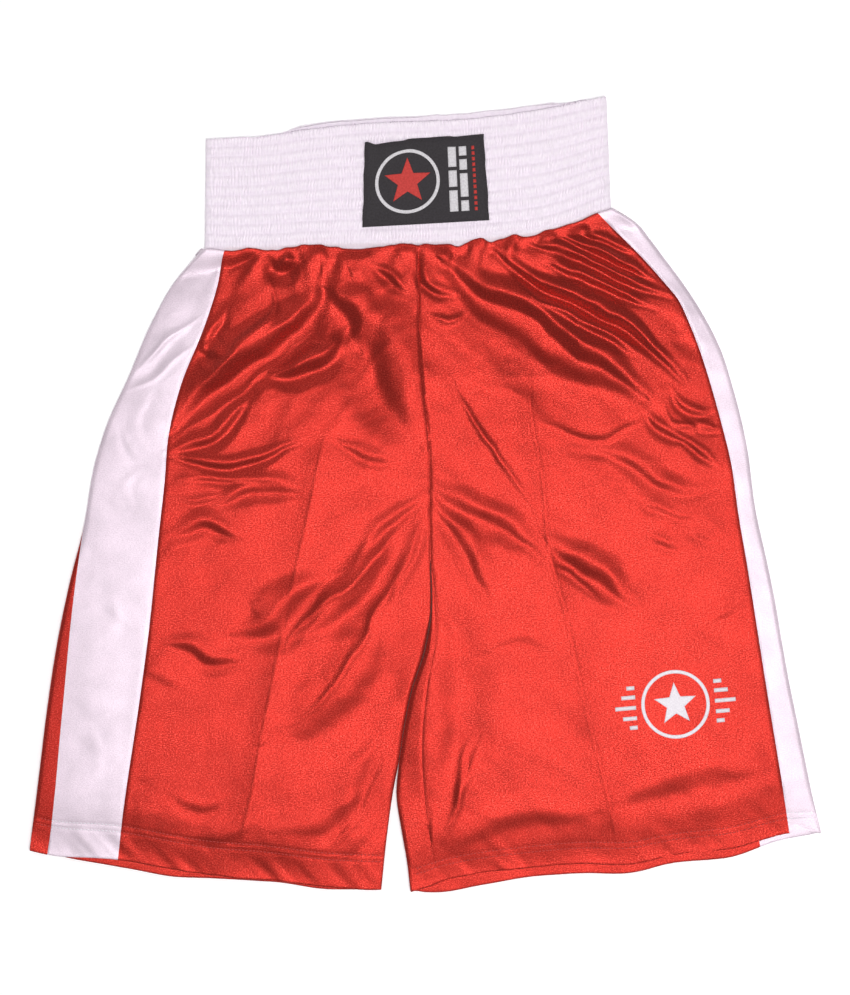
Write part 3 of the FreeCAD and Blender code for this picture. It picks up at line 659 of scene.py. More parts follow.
def panels(red, white):
    """The six cut pieces of the shorts, each in one piece of cloth from waist to hem."""
    made = {}
    made["front_panel_right"] = make_piece("front_panel_right_cloth", [
        patch(inner_right, SEAM_RIGHT, "right", True, fold=leg_round),
        patch(inner_right, inseam_right, "right", False, fold=leg_round, top=False, mirror=inner_right),
    ], red)
    made["side_stripe_right"] = make_piece("side_stripe_right_cloth", [
        patch(rear_right_front, SEAM_RIGHT, "right", True, fold=stripe_round),
        patch(OUT_RIGHT, rear_right_back, "right", False, fold=stripe_round, bottom=False,
              mirror=OUT_RIGHT),
    ], white)
    made["back_panel_right"] = make_piece("back_panel_right_cloth", [
        patch(OUT_RIGHT, rear_right_front, "right", True, fold=outer_round, top=False),
        patch(rear_right_back, inseam_right, "right", False, fold=outer_round, mirror=OUT_RIGHT),
    ], red)
    made["front_panel_left"] = make_piece("front_panel_left_cloth", [
        patch(inseam_left, SEAM_LEFT, "left", True),
    ], red)
    made["side_stripe_left"] = make_piece("side_stripe_left_cloth", [
        patch(OUT_LEFT, SEAM_LEFT, "left", True, fold=outer_round),
        patch(OUT_LEFT, REAR_LEFT, "left", False, fold=outer_round, mirror=OUT_LEFT),
    ], white)
    made["back_panel_left"] = make_piece("back_panel_left_cloth", [
        patch(inner_left, inseam_left, "left", True, fold=leg_round, top=False, mirror=inner_left),
        patch(inner_left, REAR_LEFT, "left", False, fold=leg_round),
    ], red)
    return made


# ---------------------------------------------------------------- waistband

BAND_LEFT_X, BAND_RIGHT_X = -190.0, 160.0
TOP_EDGE = Through((-189, 305), (-125, 309), (-108, 312), (-50, 318), (47, 323), (98, 330), (156, 342))
TOP_EDGE_BACK = Through((-189, 305), (-125, 310.5), (-108, 316), (-50, 322.5), (47, 329), (98.5, 335),
                        (156, 342))
ROW_PITCH = 8.8             # from one row of shirring to the next
BAND_ROUND = 4.0            # radius of the folds at the band's sides
PUCKER = 2.6                # from one small pleat to the next
INNER_DEPTH = 3.1           # the inner cloth under the outer cloth
ELASTIC_DEPTH, ELASTIC_THICK = 1.6, 1.0


def band_place(u, v, front):
    """x and y on the waistband: u across from the wearer's right, v up from its lower edge."""
    low_x = BAND_LEFT_X + (BAND_RIGHT_X - BAND_LEFT_X) * u
    high_x = -189 + 345 * u
    x = low_x + (high_x - low_x) * v
    foot = WAIST(x) - 4
    top = (TOP_EDGE if front else TOP_EDGE_BACK)(x) + 0.5 * noise(x, 5 if front else 9, 9, 71)
    return x, foot + (top - foot) * v


def up_band(x, y):
    """How far up the band a place is."""
    return (y - WAIST(x) + 4) / (TOP_EDGE(x) - WAIST(x) + 4) * BAND_HEIGHT


def band_relief(x, y, front, detail):
    """Height of the shirring: rows of small puffs between stitched lines."""
    s = up_band(x, y)
    row = (s - 10) / ROW_PITCH + 0.05 * noise(x, y, 30, 72)
    stitched = bell((row - np.round(row)) * ROW_PITCH / 1.5)
    inside = smooth((s - 3) / 7)
    drift = 1.4 * noise(x, np.round(row) * 19, 11, 73) + 0.8 * noise(x, y, 5, 74)
    pleat = np.sin((x + drift) * 2 * math.pi / (PUCKER * (1 if front else 2)))
    puff = 0.45 * (1 - stitched) - 0.8 * stitched
    uneven = 0.6 + 1.1 * np.abs(noise(x, y, 9, 80))
    pleated = detail * 0.55 * pleat * uneven * (1 - 0.8 * stitched)
    return (puff + pleated) * inside + 0.5 * noise(x, y, 12, 75) * inside


def band_level(x, y):
    """Height of the band's front, without its shirring."""
    return BAND_TOP + 0.7 * noise(x, y, 70, 76) + 0.35 * noise(x, y, 28, 77)


def band_height(x, y, front):
    """Height of the band's outer cloth, which dips to the waist seam in front."""
    if front:
        return band_level(x, y) - 2.6 * smooth((WAIST(x) + 5 - y) / 5)
    return 0.95 + 0.2 * noise(x, y, 40, 78)


def band_layer(front, step, row_step, depth=0.0, detail=1.0, relief=1.0):
    """Points of one side of the waistband, depth under its outer face. relief scales its shirring."""
    v = np.linspace(0, 1, int(BAND_HEIGHT / row_step))
    inner = np.linspace(0, 1, int(BAND_WIDTH / step))
    share = BAND_ROUND / BAND_WIDTH
    u = np.concatenate([QUARTER[:-1] * share, share + inner * (1 - 2 * share), 1 - QUARTER[-2::-1] * share])
    u, v = np.meshgrid(u, v)
    x, y = band_place(u, v, front)
    around = quarter(np.minimum(u, 1 - u) * BAND_WIDTH, BAND_ROUND)
    strength = relief * (1 if front else -0.5)
    z = band_height(x, y, front) + band_relief(x, y, front, detail) * strength
    mid = 4.9 + 0.3 * noise(y, 0, 40, 79)
    points = np.stack([x, y, mid + (z - mid) * around], -1)
    n = normals(points)
    n *= 1 if np.median(n[..., 2]) * (1 if front else -1) > 0 else -1
    n[:, 0] = (-1, 0, 0)
    n[:, -1] = (1, 0, 0)
    flat = np.stack([x if front else -x, up_band(x, y)], -1)
    return points - n * depth, flat, n


def band_piece(name, step, row_step, depth=0.0, detail=1.0, relief=1.0, edge_radius=0.0):
    """A ring of the waistband, front and back, with its top edge turned over if that has a radius."""
    patches = []
    for front in (True, False):
        points, flat, n = band_layer(front, step * (1 if front else 1.9), row_step, depth, detail, relief)
        if edge_radius:
            ahead = unit(points[-1] - points[-3])
            extra = turned(points[-1], ahead, n[-1], edge_radius, 8)
            over = [flat[-1] + np.array([0, 0.4 * (k + 1)]) for k in range(len(extra))]
            points = np.concatenate([points, np.stack(extra)])
            flat = np.concatenate([flat, np.stack(over)])
        patches.append((points, flat, 1 if front else -1))
    return make_piece(name, patches, BAND)


# ---------------------------------------------------------------- materials

def material(name, colour, roughness, **sockets):
    """A new material, with its node tree and shader."""
    made = bpy.data.materials.new(name)
    made.use_nodes = True
    shader = made.node_tree.nodes["Principled BSDF"]
    shader.inputs["Base Color"].default_value = (*colour, 1)
    shader.inputs["Roughness"].default_value = roughness
    for socket, value in sockets.items():
        shader.inputs[socket.replace("_", " ")].default_value = value
    return made, made.node_tree, shader


def node(tree, kind, **settings):
    """A new node with these properties or socket values."""
    made = tree.nodes.new(kind)
    for key, value in settings.items():
        if hasattr(made, key):
            setattr(made, key, value)
        else:
            made.inputs[key.replace("_", " ")].default_value = value
    return made


def cloth_place(tree, scale):
    """Cloth coordinates in units of 100 mm, stretched by scale."""
    source = node(tree, "ShaderNodeUVMap", uv_map="cloth")
    place = node(tree, "ShaderNodeMapping")
    place.inputs["Scale"].default_value = (*scale, 1)
    tree.links.new(source.outputs["UV"], place.inputs["Vector"])
    return place.outputs["Vector"]


def fine_noise(tree, scale, size, detail=2.0, rough=0.55):
    made = node(tree, "ShaderNodeTexNoise", Scale=size, Detail=detail, Roughness=rough)
    tree.links.new(cloth_place(tree, scale), made.inputs["Vector"])
    return made.outputs["Fac"]


def ramp(tree, value, *stops):
    """A colour for each value, through (place, colour) stops."""
    made = node(tree, "ShaderNodeValToRGB")
    elements = made.color_ramp.elements
    while len(elements) < len(stops):
        elements.new(0.5)
    for element, (at, colour) in zip(elements, stops):
        element.position = at
        element.color = (*colour, 1)
    tree.links.new(value, made.inputs["Fac"])
    return made.outputs["Color"]


def remap(tree, value, low, high):
    """Noise, mostly 0.3 to 0.7, spread from low to high."""
    made = node(tree, "ShaderNodeMapRange")
    for key, number in (("From Min", 0.3), ("From Max", 0.7), ("To Min", low), ("To Max", high)):
        made.inputs[key].default_value = number
    tree.links.new(value, made.inputs["Value"])
    return made.outputs["Result"]


def multiply(tree, a, b):
    """One colour times another."""
    made = node(tree, "ShaderNodeMix", data_type="RGBA", blend_type="MULTIPLY")
    made.inputs["Factor"].default_value = 1
    tree.links.new(a, made.inputs["A"])
    tree.links.new(b, made.inputs["B"])
    return made.outputs["Result"]


def bump(tree, shader, value, strength, distance):
    """Small relief from a value, on the shader's normal."""
    made = node(tree, "ShaderNodeBump", Strength=strength, Distance=distance)
    tree.links.new(value, made.inputs["Height"])
    tree.links.new(made.outputs["Normal"], shader.inputs["Normal"])


def satin(name, low, mid, high, sheen, metal, speckle=1.0):
    """Warp-knit satin: a fine bright speckle, faint wales, and a soft shine."""
    made, tree, shader = material(name, mid, 0.4, Sheen_Weight=0.22, Sheen_Roughness=0.6,
                                  Specular_IOR_Level=0.3, Metallic=metal)
    shader.inputs["Sheen Tint"].default_value = (*sheen, 1)
    grain = fine_noise(tree, (1, 1.5), 75, 3, 0.7)
    cloud = fine_noise(tree, (1, 1), 3.2, 3, 0.5)
    wales = node(tree, "ShaderNodeTexWave", Scale=38, Distortion=0.8, Detail=1)
    tree.links.new(cloth_place(tree, (1, 0.12)), wales.inputs["Vector"])
    colour = ramp(tree, grain, (0.5 - 0.16 * speckle, low), (0.5, mid), (0.5 + 0.2 * speckle, high))
    shade = ramp(tree, cloud, (0.3, (0.84, 0.84, 0.84)), (0.7, (1, 1, 1)))
    tree.links.new(multiply(tree, colour, shade), shader.inputs["Base Color"])
    tree.links.new(remap(tree, grain, 0.50, 0.36), shader.inputs["Roughness"])
    height = node(tree, "ShaderNodeMath", operation="MULTIPLY_ADD")
    height.inputs[1].default_value = 0.3
    tree.links.new(wales.outputs["Fac"], height.inputs[0])
    tree.links.new(grain, height.inputs[2])
    bump(tree, shader, height.outputs[0], 0.5, 0.0003)
    return made


def knit(name, low, high, roughness, size, strength=0.5, scale=(1, 1)):
    """A matt cloth or thread with a fine knit or twist."""
    made, tree, shader = material(name, high, roughness, Sheen_Weight=0.2, Sheen_Roughness=0.5)
    grain = fine_noise(tree, scale, size, 3, 0.65)
    tree.links.new(ramp(tree, grain, (0.3, low), (0.62, high)), shader.inputs["Base Color"])
    tree.links.new(remap(tree, grain, roughness + 0.08, roughness - 0.08), shader.inputs["Roughness"])
    bump(tree, shader, grain, strength, 0.0003)
    return made


def shirred_with_painted_shade(name, low, high, roughness):
    """The waistband's knit, with painted shade: darker along its stitched rows, where the shirring dips, and
    lighter on the small puffs between them.
    """
    made, tree, shader = material(name, high, roughness, Sheen_Weight=0.25, Sheen_Roughness=0.5)
    grain = fine_noise(tree, (1, 1), 60, 3, 0.65)
    puff = fine_noise(tree, (1, 0.45), 42, 1.5, 0.5)
    # Painted shade: this wave darkens the base colour along each stitched row, where the shirring dips.
    rows = node(tree, "ShaderNodeTexWave", Scale=10 * math.pi / ROW_PITCH, Distortion=0.5, Detail=1,
                bands_direction="Y")          # one dark band for each row of shirring
    rows.inputs["Phase Offset"].default_value = -20 * math.pi / ROW_PITCH
    rows.inputs["Detail Scale"].default_value = 0.6
    tree.links.new(cloth_place(tree, (1, 1)), rows.inputs["Vector"])
    both = node(tree, "ShaderNodeMath", operation="MULTIPLY_ADD")
    both.inputs[1].default_value = 0.35
    tree.links.new(rows.outputs["Fac"], both.inputs[0])
    tree.links.new(puff, both.inputs[2])
    # The rows go into the base colour as painted shade.
    tree.links.new(ramp(tree, both.outputs[0], (0.38, low), (0.95, high)), shader.inputs["Base Color"])
    tree.links.new(remap(tree, grain, roughness + 0.08, roughness - 0.08), shader.inputs["Roughness"])
    bump(tree, shader, both.outputs[0], 0.5, 0.0008)
    return made


def woven(name, low, high):
    """The label's close weave, fine ribs both ways."""
    made, tree, shader = material(name, high, 0.7, Sheen_Weight=0.1)
    across = node(tree, "ShaderNodeTexWave", Scale=60, Distortion=0.3)
    up = node(tree, "ShaderNodeTexWave", Scale=45, Distortion=0.3, bands_direction="Y")
    for wave in (across, up):
        tree.links.new(cloth_place(tree, (1, 1)), wave.inputs["Vector"])
    both = node(tree, "ShaderNodeMath", operation="MULTIPLY")
    tree.links.new(across.outputs["Fac"], both.inputs[0])
    tree.links.new(up.outputs["Fac"], both.inputs[1])
    grain = fine_noise(tree, (1, 1), 60)
    tree.links.new(ramp(tree, grain, (0.3, low), (0.7, high)), shader.inputs["Base Color"])
    bump(tree, shader, both.outputs[0], 0.4, 0.0002)
    return made


RED = satin("red_satin_look", (0.27, 0.010, 0.007), (0.45, 0.019, 0.012), (0.78, 0.080, 0.056),
            sheen=(0.9, 0.42, 0.34), metal=0.76)
WHITE = satin("white_satin_look", (0.75, 0.62, 0.71), (0.84, 0.70, 0.80), (0.92, 0.79, 0.88),
              sheen=(1, 1, 1), metal=0.3, speckle=0.8)
# The band's cloth, with painted shade along its shirred rows.
BAND = shirred_with_painted_shade("band_cloth_painted_row_shade_look", (0.90, 0.80, 0.90), (0.98, 0.89, 0.97), 0.6)
ELASTIC = knit("elastic_look", (0.70, 0.68, 0.72), (0.84, 0.82, 0.85), 0.8, 50, scale=(1, 3))
WHITE_THREAD = knit("white_thread_look", (0.70, 0.66, 0.72), (0.88, 0.85, 0.90), 0.6, 120)
RED_THREAD = knit("red_thread_look", (0.40, 0.022, 0.018), (0.55, 0.04, 0.03), 0.55, 120)
LABEL = woven("label_cloth_look", (0.014, 0.010, 0.013), (0.028, 0.022, 0.027))
LABEL_WHITE = woven("label_white_look", (0.62, 0.59, 0.62), (0.80, 0.78, 0.80))
LABEL_RED = woven("label_red_look", (0.52, 0.028, 0.022), (0.66, 0.05, 0.04))
FILM = knit("print_film_look", (0.70, 0.64, 0.70), (0.84, 0.79, 0.84), 0.45, 70, 0.25)


# ---------------------------------------------------------------- waistband inside, label and badge

def elastic_core(look):
    """The elastic between the band's two cloths, closed along both edges."""
    patches = []
    for front in (True, False):
        outside, flat, n = band_layer(front, 3.0, 3.0, ELASTIC_DEPTH, detail=0.0, relief=0.0)
        inside = outside - ELASTIC_THICK * n
        loop = np.concatenate([outside[1:-1], inside[-2:0:-1], outside[1:2]])
        sheet = np.concatenate([flat[1:-1], flat[-2:0:-1], flat[1:2]])
        patches.append((loop, sheet, 1 if front else -1))
    return make_piece("waistband_elastic_core", patches, look)


def closing_seam(look):
    """The joined ends of the band, overlocked, on the inside of its back."""
    low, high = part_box("waistband_closing_seam")
    middle = (low.x + high.x) / 2 / MM
    share = (middle - BAND_LEFT_X) / (BAND_RIGHT_X - BAND_LEFT_X)
    v = np.linspace(0.03, 0.97, 70)[:, None]
    angle = np.linspace(0, 2 * math.pi, 17)[None, :]
    x, y = band_place(share + 3.2 * np.cos(angle) / BAND_WIDTH + 0 * v, v + 0 * angle, False)
    z = band_height(x, y, False) + 3.3 + (0.5 + 0.12 * np.sin(y * 2.4)) * np.sin(angle)
    return make_piece("waistband_closing_overlock", [(np.stack([x, y, z], -1), np.stack([x, y], -1), 1)],
                      look)


LABEL_CORNERS = np.array([[(-54, 230), (55, 236)], [(-52, 303), (50, 310)]], float)
LABEL_SIZE = (104.0, 73.0)
LABEL_LIFT = 2.5            # the label above the band's mean height, clear of its puffs


def label_place(a, b):
    """x and y of a place on the label, from its own millimetres across and up."""
    s, t = a / LABEL_SIZE[0], b / LABEL_SIZE[1]
    low = LABEL_CORNERS[0, 0] * (1 - s[..., None]) + LABEL_CORNERS[0, 1] * s[..., None]
    high = LABEL_CORNERS[1, 0] * (1 - s[..., None]) + LABEL_CORNERS[1, 1] * s[..., None]
    place = low * (1 - t[..., None]) + high * t[..., None]
    x, y = place[..., 0], place[..., 1]
    loose = smooth((t - 0.55) / 0.45) * smooth((0.45 - s) / 0.45)
    border = smooth((t - 0.8) / 0.2)
    y = y - 2.2 * loose * border * smooth((s - 0.02) / 0.08) + 0.7 * border * noise(a, 0, 8, 81)
    x = x + 0.5 * noise(b, 3, 11, 82) * smooth((0.12 - np.minimum(s, 1 - s)) / 0.12)
    return x, y


def label_height(x, y, a, b):
    """Height of the label: soft waves, a curling corner, and a dip along its stitches."""
    gap = np.minimum(np.minimum(a, LABEL_SIZE[0] - a), np.minimum(b, LABEL_SIZE[1] - b))
    base = band_level(x, y) + LABEL_LIFT
    soft = 0.3 * noise(a, b, 14, 83) + 0.55 * noise(a, b, 24, 84)
    corner = 1.2 * smooth((b - 50) / 23) * smooth((34 - a) / 34) * (0.5 + 0.5 * np.sin(a / 2.6))
    stitched = bell((gap - 2) / 1.0) * 0.35
    return base + soft * 0.6 + corner - stitched - 0.35 * smooth((1 - gap) / 1)


def on_label(a, b, lift):
    """A place on the label, from its own millimetres across and up."""
    x, y = label_place(a, b)
    return np.stack([x, y, label_height(x, y, a, b) + lift], -1)


def on_leg(a, b, lift):
    """A place on the left leg's front, from the badge's own middle."""
    tilt = math.radians(5)
    x = 215 + a * math.cos(tilt) - b * math.sin(tilt)
    y = -180 + a * math.sin(tilt) + b * math.cos(tilt)
    return np.stack([x, y, surface(x, y, True) + lift], -1)


def raised(a, b, put, lift, *sides):
    """A patch of thread or film a little above its cloth, with the named sides brought down to it."""
    pad = (("first" in sides, "last" in sides), ("columns" in sides, "columns" in sides), (0, 0))
    sheet = np.pad(np.stack([a, b], -1), pad, mode="edge")
    grid = np.pad(put(a, b, lift), pad, mode="edge")
    low = np.pad(put(a, b, -0.15), pad, mode="edge")
    for side, edge in (("first", np.s_[0]), ("last", np.s_[-1]),
                       ("columns", np.s_[:, 0]), ("columns", np.s_[:, -1])):
        if side in sides:
            grid[edge] = low[edge]
    return grid, sheet


def facing_up(grid, sheet):
    """The patch with its facing worked out from its own points."""
    up = np.cross(grid[1:, :-1] - grid[:-1, :-1], grid[:-1, 1:] - grid[:-1, :-1])[..., 2].sum()
    return grid, sheet, -1 if up > 0 else 1


def ring_patch(put, middle, radius_in, radius_out, lift=0.3):
    """A flat ring."""
    radius = np.linspace(radius_in, radius_out, 5)[:, None]
    angle = np.linspace(0, 2 * math.pi, 97)[None, :]
    a = middle[0] + radius * np.cos(angle)
    b = middle[1] + radius * np.sin(angle)
    return facing_up(*raised(a, b, put, lift, "first", "last"))


def star_patch(put, middle, reach, lift=0.3):
    """A five-pointed star, its inner corners at 0.42 of its reach."""
    k = np.arange(11)
    size = np.where(k % 2 == 0, reach, reach * 0.42)
    angle = np.radians(90 + 36 * k)
    corners = np.stack([size * np.cos(angle), size * np.sin(angle)], 1)
    steps = np.linspace(0, 1, 6, endpoint=False)
    sides = [a + (b - a) * t for a, b in zip(corners, corners[1:]) for t in steps]
    rim = np.array(sides + [corners[-1]])
    share = np.linspace(0, 1, 9)[:, None]
    a = middle[0] + share * rim[None, :, 0]
    b = middle[1] + share * rim[None, :, 1]
    return facing_up(*raised(a, b, put, lift, "last"))


def bar_patch(put, low, high, lift=0.3):
    """A rectangle between two corners."""
    t = np.linspace(0, 1, max(3, int(abs(high[1] - low[1]) / 1.2)))[:, None]
    s = np.linspace(0, 1, max(3, int(abs(high[0] - low[0]) / 1.2)))[None, :]
    a = low[0] + (high[0] - low[0]) * s + 0 * t
    b = low[1] + (high[1] - low[1]) * t + 0 * s
    return facing_up(*raised(a, b, put, lift, "first", "last", "columns"))


EMBLEM = (37, 37)           # middle of the label's ring and star
BLOCK_COLUMNS = (((72, 79), ((9, 27), (30, 44), (47, 64))),
                 ((81.5, 88), ((9, 18), (21, 41), (44, 53), (56, 64))))


def label_cloth():
    """The black patch, with its edges brought down to the band."""
    across, up = LABEL_SIZE
    a = np.concatenate([[0, 0], np.linspace(0, across, 105)[1:-1], [across, across]])[None, :]
    b = np.concatenate([[0, 0], np.linspace(0, up, 74)[1:-1], [up, up]])[:, None]
    a, b = a + 0 * b, b + 0 * a
    points = on_label(a, b, 0)
    for edge in (np.s_[0, :], np.s_[-1, :], np.s_[:, 0], np.s_[:, -1]):
        points[edge][..., 2] -= 0.9
    return make_piece("label_patch_cloth", [facing_up(points, np.stack([a, b], -1))], LABEL)


def label_stitch_ends():
    """Both ends of each stitch round the label, 2 mm inside its edge."""
    rim = [(2, 2), (102, 2), (102, 71), (2, 71), (2, 2)]
    ends = []
    for (a0, b0), (a1, b1) in zip(rim, rim[1:]):
        count = int(math.hypot(a1 - a0, b1 - b0) / 2.6)
        for k in range(count):
            ends.append([(a0 + (a1 - a0) * (k + end) / count, b0 + (b1 - b0) * (k + end) / count)
                         for end in (0.14, 0.86)])
    ends = np.array(ends)
    return [on_label(ends[:, end, 0], ends[:, end, 1], 0) for end in (0, 1)]


def label_pieces():
    """The label, its white and red weaves, and the thread that holds it."""
    cloth = label_cloth()
    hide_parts("label_patch")
    white = [ring_patch(on_label, EMBLEM, 24.6, 27.4)]
    for (left, right), blocks in BLOCK_COLUMNS:
        white += [bar_patch(on_label, (left, low), (right, high)) for low, high in blocks]
    white_piece = make_piece("label_white_weave", white, LABEL_WHITE)
    red = [star_patch(on_label, EMBLEM, 20.5)]
    red += [bar_patch(on_label, (92.5, 9 + 4.7 * k), (95, 12 + 4.7 * k)) for k in range(12)]
    red_piece = make_piece("label_red_weave", red, LABEL_RED)
    threads = stitches(*label_stitch_ends(), 0.32)
    sewn = make_piece("label_stitching_thread", threads, LABEL, merge=False)
    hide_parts("label_stitching")
    return [cloth, white_piece, red_piece, sewn]


def stitches(start, stop, thick):
    """Small raised threads from each start to each stop, seen from above or from below."""
    patches = []
    along = np.linspace(-1, 1, 7)[:, None]
    angle = np.linspace(0, math.pi, 6)[None, :]
    for a, b in zip(start, stop):
        way = (b - a) / 2
        side = np.cross((0, 0, 1), way)
        side = side / max(np.linalg.norm(side), 1e-9)
        body = np.sqrt(np.clip(1 - along ** 4, 0, 1))
        grid = ((a + b) / 2 + along[..., None] * way
                + (body * np.cos(angle) * thick)[..., None] * side
                + (body * np.sin(angle) * thick * 0.9)[..., None] * np.array([0, 0, 1.0]))
        patches.append(facing_up(grid, np.stack([along * 1.2 + 0 * angle, angle + 0 * along], -1)))
    return patches


def badge():
    """The printed mark: a star in a ring with bars on each side."""
    marks = [ring_patch(on_leg, (0, 0), 26.5, 29.5, 0.18), star_patch(on_leg, (0, 0), 19, 0.18)]
    for side in (-1, 1):
        for low, high, b in ((34, 52, 0), (34, 46, 9), (34, 46, -9), (34, 41, 17), (34, 41, -17)):
            a0, a1 = (low, high) if side > 0 else (-high, -low)
            marks.append(bar_patch(on_leg, (a0, b - 1.7), (a1, b + 1.7), 0.18))
    piece = make_piece("leg_badge_print", marks, FILM)
    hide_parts("leg_print")
    return piece


# ---------------------------------------------------------------- sewing

SEAM_INSET, SEAM_WIDTH, SEAM_THICK = 1.25, 2.6, 0.55


def seam_tube(line, y_high, y_low, front):
    """An overlocked seam allowance on the inside of one layer, along a line x(y)."""
    y = np.linspace(y_high, y_low, max(8, int(abs(y_high - y_low) / 2.2)))[:, None]
    angle = np.linspace(0, 2 * math.pi, 13)[None, :]
    x = line(y) + SEAM_WIDTH * np.cos(angle)
    away = -1 if front else 1
    ripple = 1 + 0.16 * np.sin(y * 2.9)
    z = surface(x, y + 0 * angle, front) + away * SEAM_INSET + SEAM_THICK * ripple * np.sin(angle)
    grid = np.stack([x, y + 0 * x, z], -1)
    return grid, grid[..., :2], 1


def around_waist(front):
    """The gathered waist seam's allowance, just under the satin's turned edge."""
    x = np.linspace(-170, 140, 170)[:, None]
    angle = np.linspace(0, 2 * math.pi, 13)[None, :]
    y = waist(x) - 6.5 + 2.4 * np.cos(angle)
    away = -1 if front else 1
    z = surface(x + 0 * angle, y, front) + away * 2.9 + 0.5 * np.sin(angle)
    return np.stack([x + 0 * y, y, z], -1), np.stack([x + 0 * y, y], -1), 1


def hem_stitches(side):
    """Two rows of stitches round one leg's hem."""
    patches = []
    low, high = (-338, -40) if side == "right" else (-8, 337)
    for front in (True, False):
        if side == "right":
            edge = HEM_RIGHT if front else HEM_RIGHT_BACK
        else:
            edge = HEM_LEFT if front else HEM_LEFT_BACK
        for rise in HEM_ROWS[side]:
            x = np.arange(low, high, 3.1)
            ends = []
            for at in (x, x + 2.3):
                y = edge(at) + rise
                level = surface(at, y, front)
                ends.append(np.stack([at, y, level + (0.05 if front else -0.05)], -1))
            (x0, y0, _), (x1, y1, _) = ends[0].T, ends[1].T
            clear = inner_right(y0) - x0 if side == "right" else x0 - inner_left(y0)
            keep = (x0 > OUT_RIGHT(y0) + 3) & (x1 < OUT_LEFT(y1) - 3) & (clear > 3)
            patches += stitches(ends[0][keep], ends[1][keep], 0.42 if front else -0.3)
    return patches


# ---------------------------------------------------------------- putting the garment together


def leg_blend(piece):
    """Bake a piece's placement into its mesh."""
    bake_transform(piece)


def band_blend(piece):
    """Bake a piece's placement into its mesh."""
    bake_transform(piece)


def sew_seams():
    """The overlocked allowances inside; those of the centre and waist seams are attached to the seat."""
    red, white = ("red_thread", RED_THREAD), ("white_thread", WHITE_THREAD)
    plans = {
        "front_side_seam_right": (white, "right_leg", [(SEAM_RIGHT, 202, -286, True)]),
        "front_side_seam_left": (white, "left_leg", [(SEAM_LEFT, 226, -268, True)]),
        "rear_side_seam_left": (white, "left_leg", [(REAR_LEFT, 222, -280, False)]),
        "rear_side_seam_right": (white, "right_leg",
                                 [(lambda y: rear_right_back(y) + 3, 200, -8, False),
                                  (lambda y: rear_right_front(y) + 3.5, -52, -284, True)]),
        "inseam_right": (red, "right_leg", [(lambda y: inseam_right(y) - 2.5, -92, -312, False)]),
        "inseam_left": (red, "left_leg", [(lambda y: inseam_left(y) + 2.5, -92, -318, True)]),
    }
    for name, ((slot, look), leg, runs) in plans.items():
        piece = make_piece(name + "_overlock", [seam_tube(*run) for run in runs], look)
        if name.startswith("inseam"):
            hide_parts(name)
        else:
            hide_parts(name + "_seat", name + "_leg")
        leg_blend(piece)
    for name, front in (("centre_front_seam", True), ("centre_back_seam", False)):
        piece = make_piece(name + "_overlock", [seam_tube(CENTRE, 210, CROTCH_Y + 3, front)], RED_THREAD)
        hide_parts(name)
        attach(piece, "seat")
    piece = make_piece("waist_seam_overlock_thread", [around_waist(True), around_waist(False)], WHITE_THREAD)
    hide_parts("waist_seam_overlock")
    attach(piece, "seat")


FAR_X = 1e3                 # past everything
HEM_MIDDLE_Z = 0.0035       # between the hem's two layers, in metres


def colour_stripe(piece, low, high):
    """Give the stitches that cross the white stripe a white thread."""
    piece.data.materials.append(WHITE_THREAD)
    for face in piece.data.polygons:
        x, y, _ = face.center / MM
        face.material_index = 1 if low(y, face.center.z) < x < high(y, face.center.z) else 0


cloths = panels(RED, WHITE)
for name, piece in cloths.items():
    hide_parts(name + "_seat", name + "_leg")
    leg_blend(piece)

sew_seams()
hems = {}
for side in ("right", "left"):
    hems[side] = make_piece(f"hem_stitching_{side}_thread", hem_stitches(side), RED_THREAD,
                            merge=False)
colour_stripe(hems["right"], lambda y, z: rear_right_front(y) if z > HEM_MIDDLE_Z else FAR_X,
              lambda y, z: SEAM_RIGHT(y))
colour_stripe(hems["left"], lambda y, z: SEAM_LEFT(y) if z > HEM_MIDDLE_Z else REAR_LEFT(y),
              lambda y, z: FAR_X)
for side, piece in hems.items():
    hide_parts("hem_stitching_" + side)
    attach(piece, side + "_leg")

mark = badge()
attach(mark, "left_leg")

outer = band_piece("waistband_outer_cloth_shirred", 0.5, 1.25, edge_radius=1.4)
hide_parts("waistband_outer_cloth", "waistband_shirring_threads")
inner = band_piece("waistband_inner_cloth_shirred", 2.4, 2.2, INNER_DEPTH, detail=0.5, relief=0.4)
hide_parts("waistband_inner_cloth")
core = elastic_core(ELASTIC)
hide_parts("waistband_elastic")
closing = closing_seam(WHITE_THREAD)
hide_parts("waistband_closing_seam")
labels = label_pieces()
for piece in (outer, inner, core, closing, *labels):
    band_blend(piece)
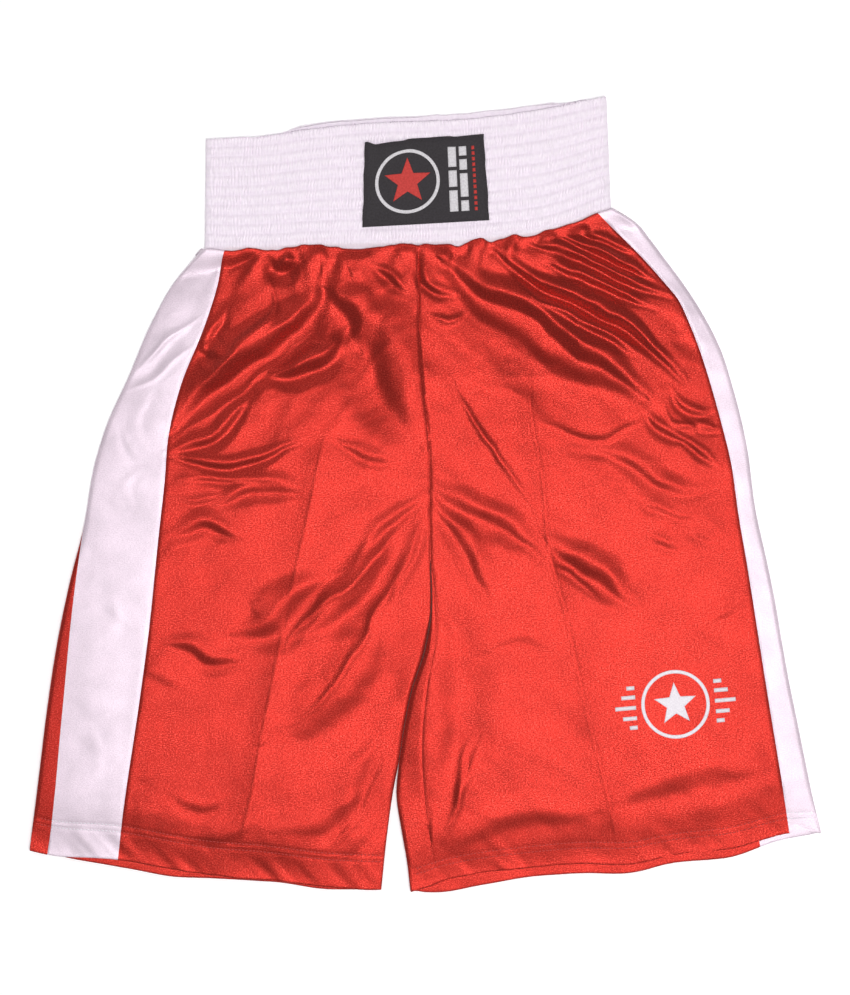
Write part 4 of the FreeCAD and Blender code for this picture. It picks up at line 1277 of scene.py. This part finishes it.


# ---------------------------------------------------------------- floor, light and camera

def floor():
    """The white table that the shorts lie on, which isn't part of them."""
    bpy.ops.mesh.primitive_plane_add(size=12, location=(0, 0, -0.0006))
    made = bpy.context.object
    made.name = "studio_floor"
    look = material("studio_paper", (0.97, 0.97, 0.975), 0.9, Specular_IOR_Level=0.1,
                    Emission_Color=(1, 1, 1, 1), Emission_Strength=0.16)[0]
    made.data.materials.append(look)


def area_light(name, place, size, power):
    """A round lamp aimed at the middle of the garment."""
    data = bpy.data.lights.new(name, "AREA")
    data.shape = "DISK"
    data.size = size
    data.energy = power
    lamp = bpy.data.objects.new(name, data)
    lamp.location = place
    lamp.rotation_euler = (-Vector(place)).to_track_quat("-Z", "Y").to_euler()
    bpy.context.scene.collection.objects.link(lamp)


floor()
area_light("key", (0.30, -0.22, 2.55), 0.8, 41)
area_light("fill", (1.5, -1.3, 1.8), 1.5, 9)
area_light("top", (-1.2, 1.8, 1.5), 1.2, 8)
world = bpy.data.worlds.new("studio")
bpy.context.scene.world = world
world.use_nodes = True
sky = world.node_tree
aim = sky.nodes.new("ShaderNodeTexCoord")
split = sky.nodes.new("ShaderNodeSeparateXYZ")
sky.links.new(aim.outputs["Generated"], split.inputs["Vector"])
glow = ramp(sky, split.outputs["Z"], (0.0, (0.40, 0.38, 0.40)), (0.75, (0.44, 0.42, 0.44)), (1.0, (1, 1, 1)))
sky.links.new(glow, sky.nodes["Background"].inputs["Color"])
sky.nodes["Background"].inputs["Strength"].default_value = 0.42
bpy.context.scene.view_settings.view_transform = "Standard"
bpy.context.scene.view_settings.look = "None"

FRAME_HEIGHT = 0.8557        # what the photograph's frame covers at the garment's height
CAMERA_HEIGHT = 2.2
camera_data = bpy.data.cameras.new("camera")
camera = bpy.data.objects.new("camera", camera_data)
bpy.context.scene.collection.objects.link(camera)
camera.location = (-0.0004, -0.0022, CAMERA_HEIGHT)
camera_data.sensor_fit = "VERTICAL"
camera_data.sensor_height = 24
camera_data.lens = 24 * (CAMERA_HEIGHT - 0.008) / FRAME_HEIGHT
bpy.context.scene.camera = camera
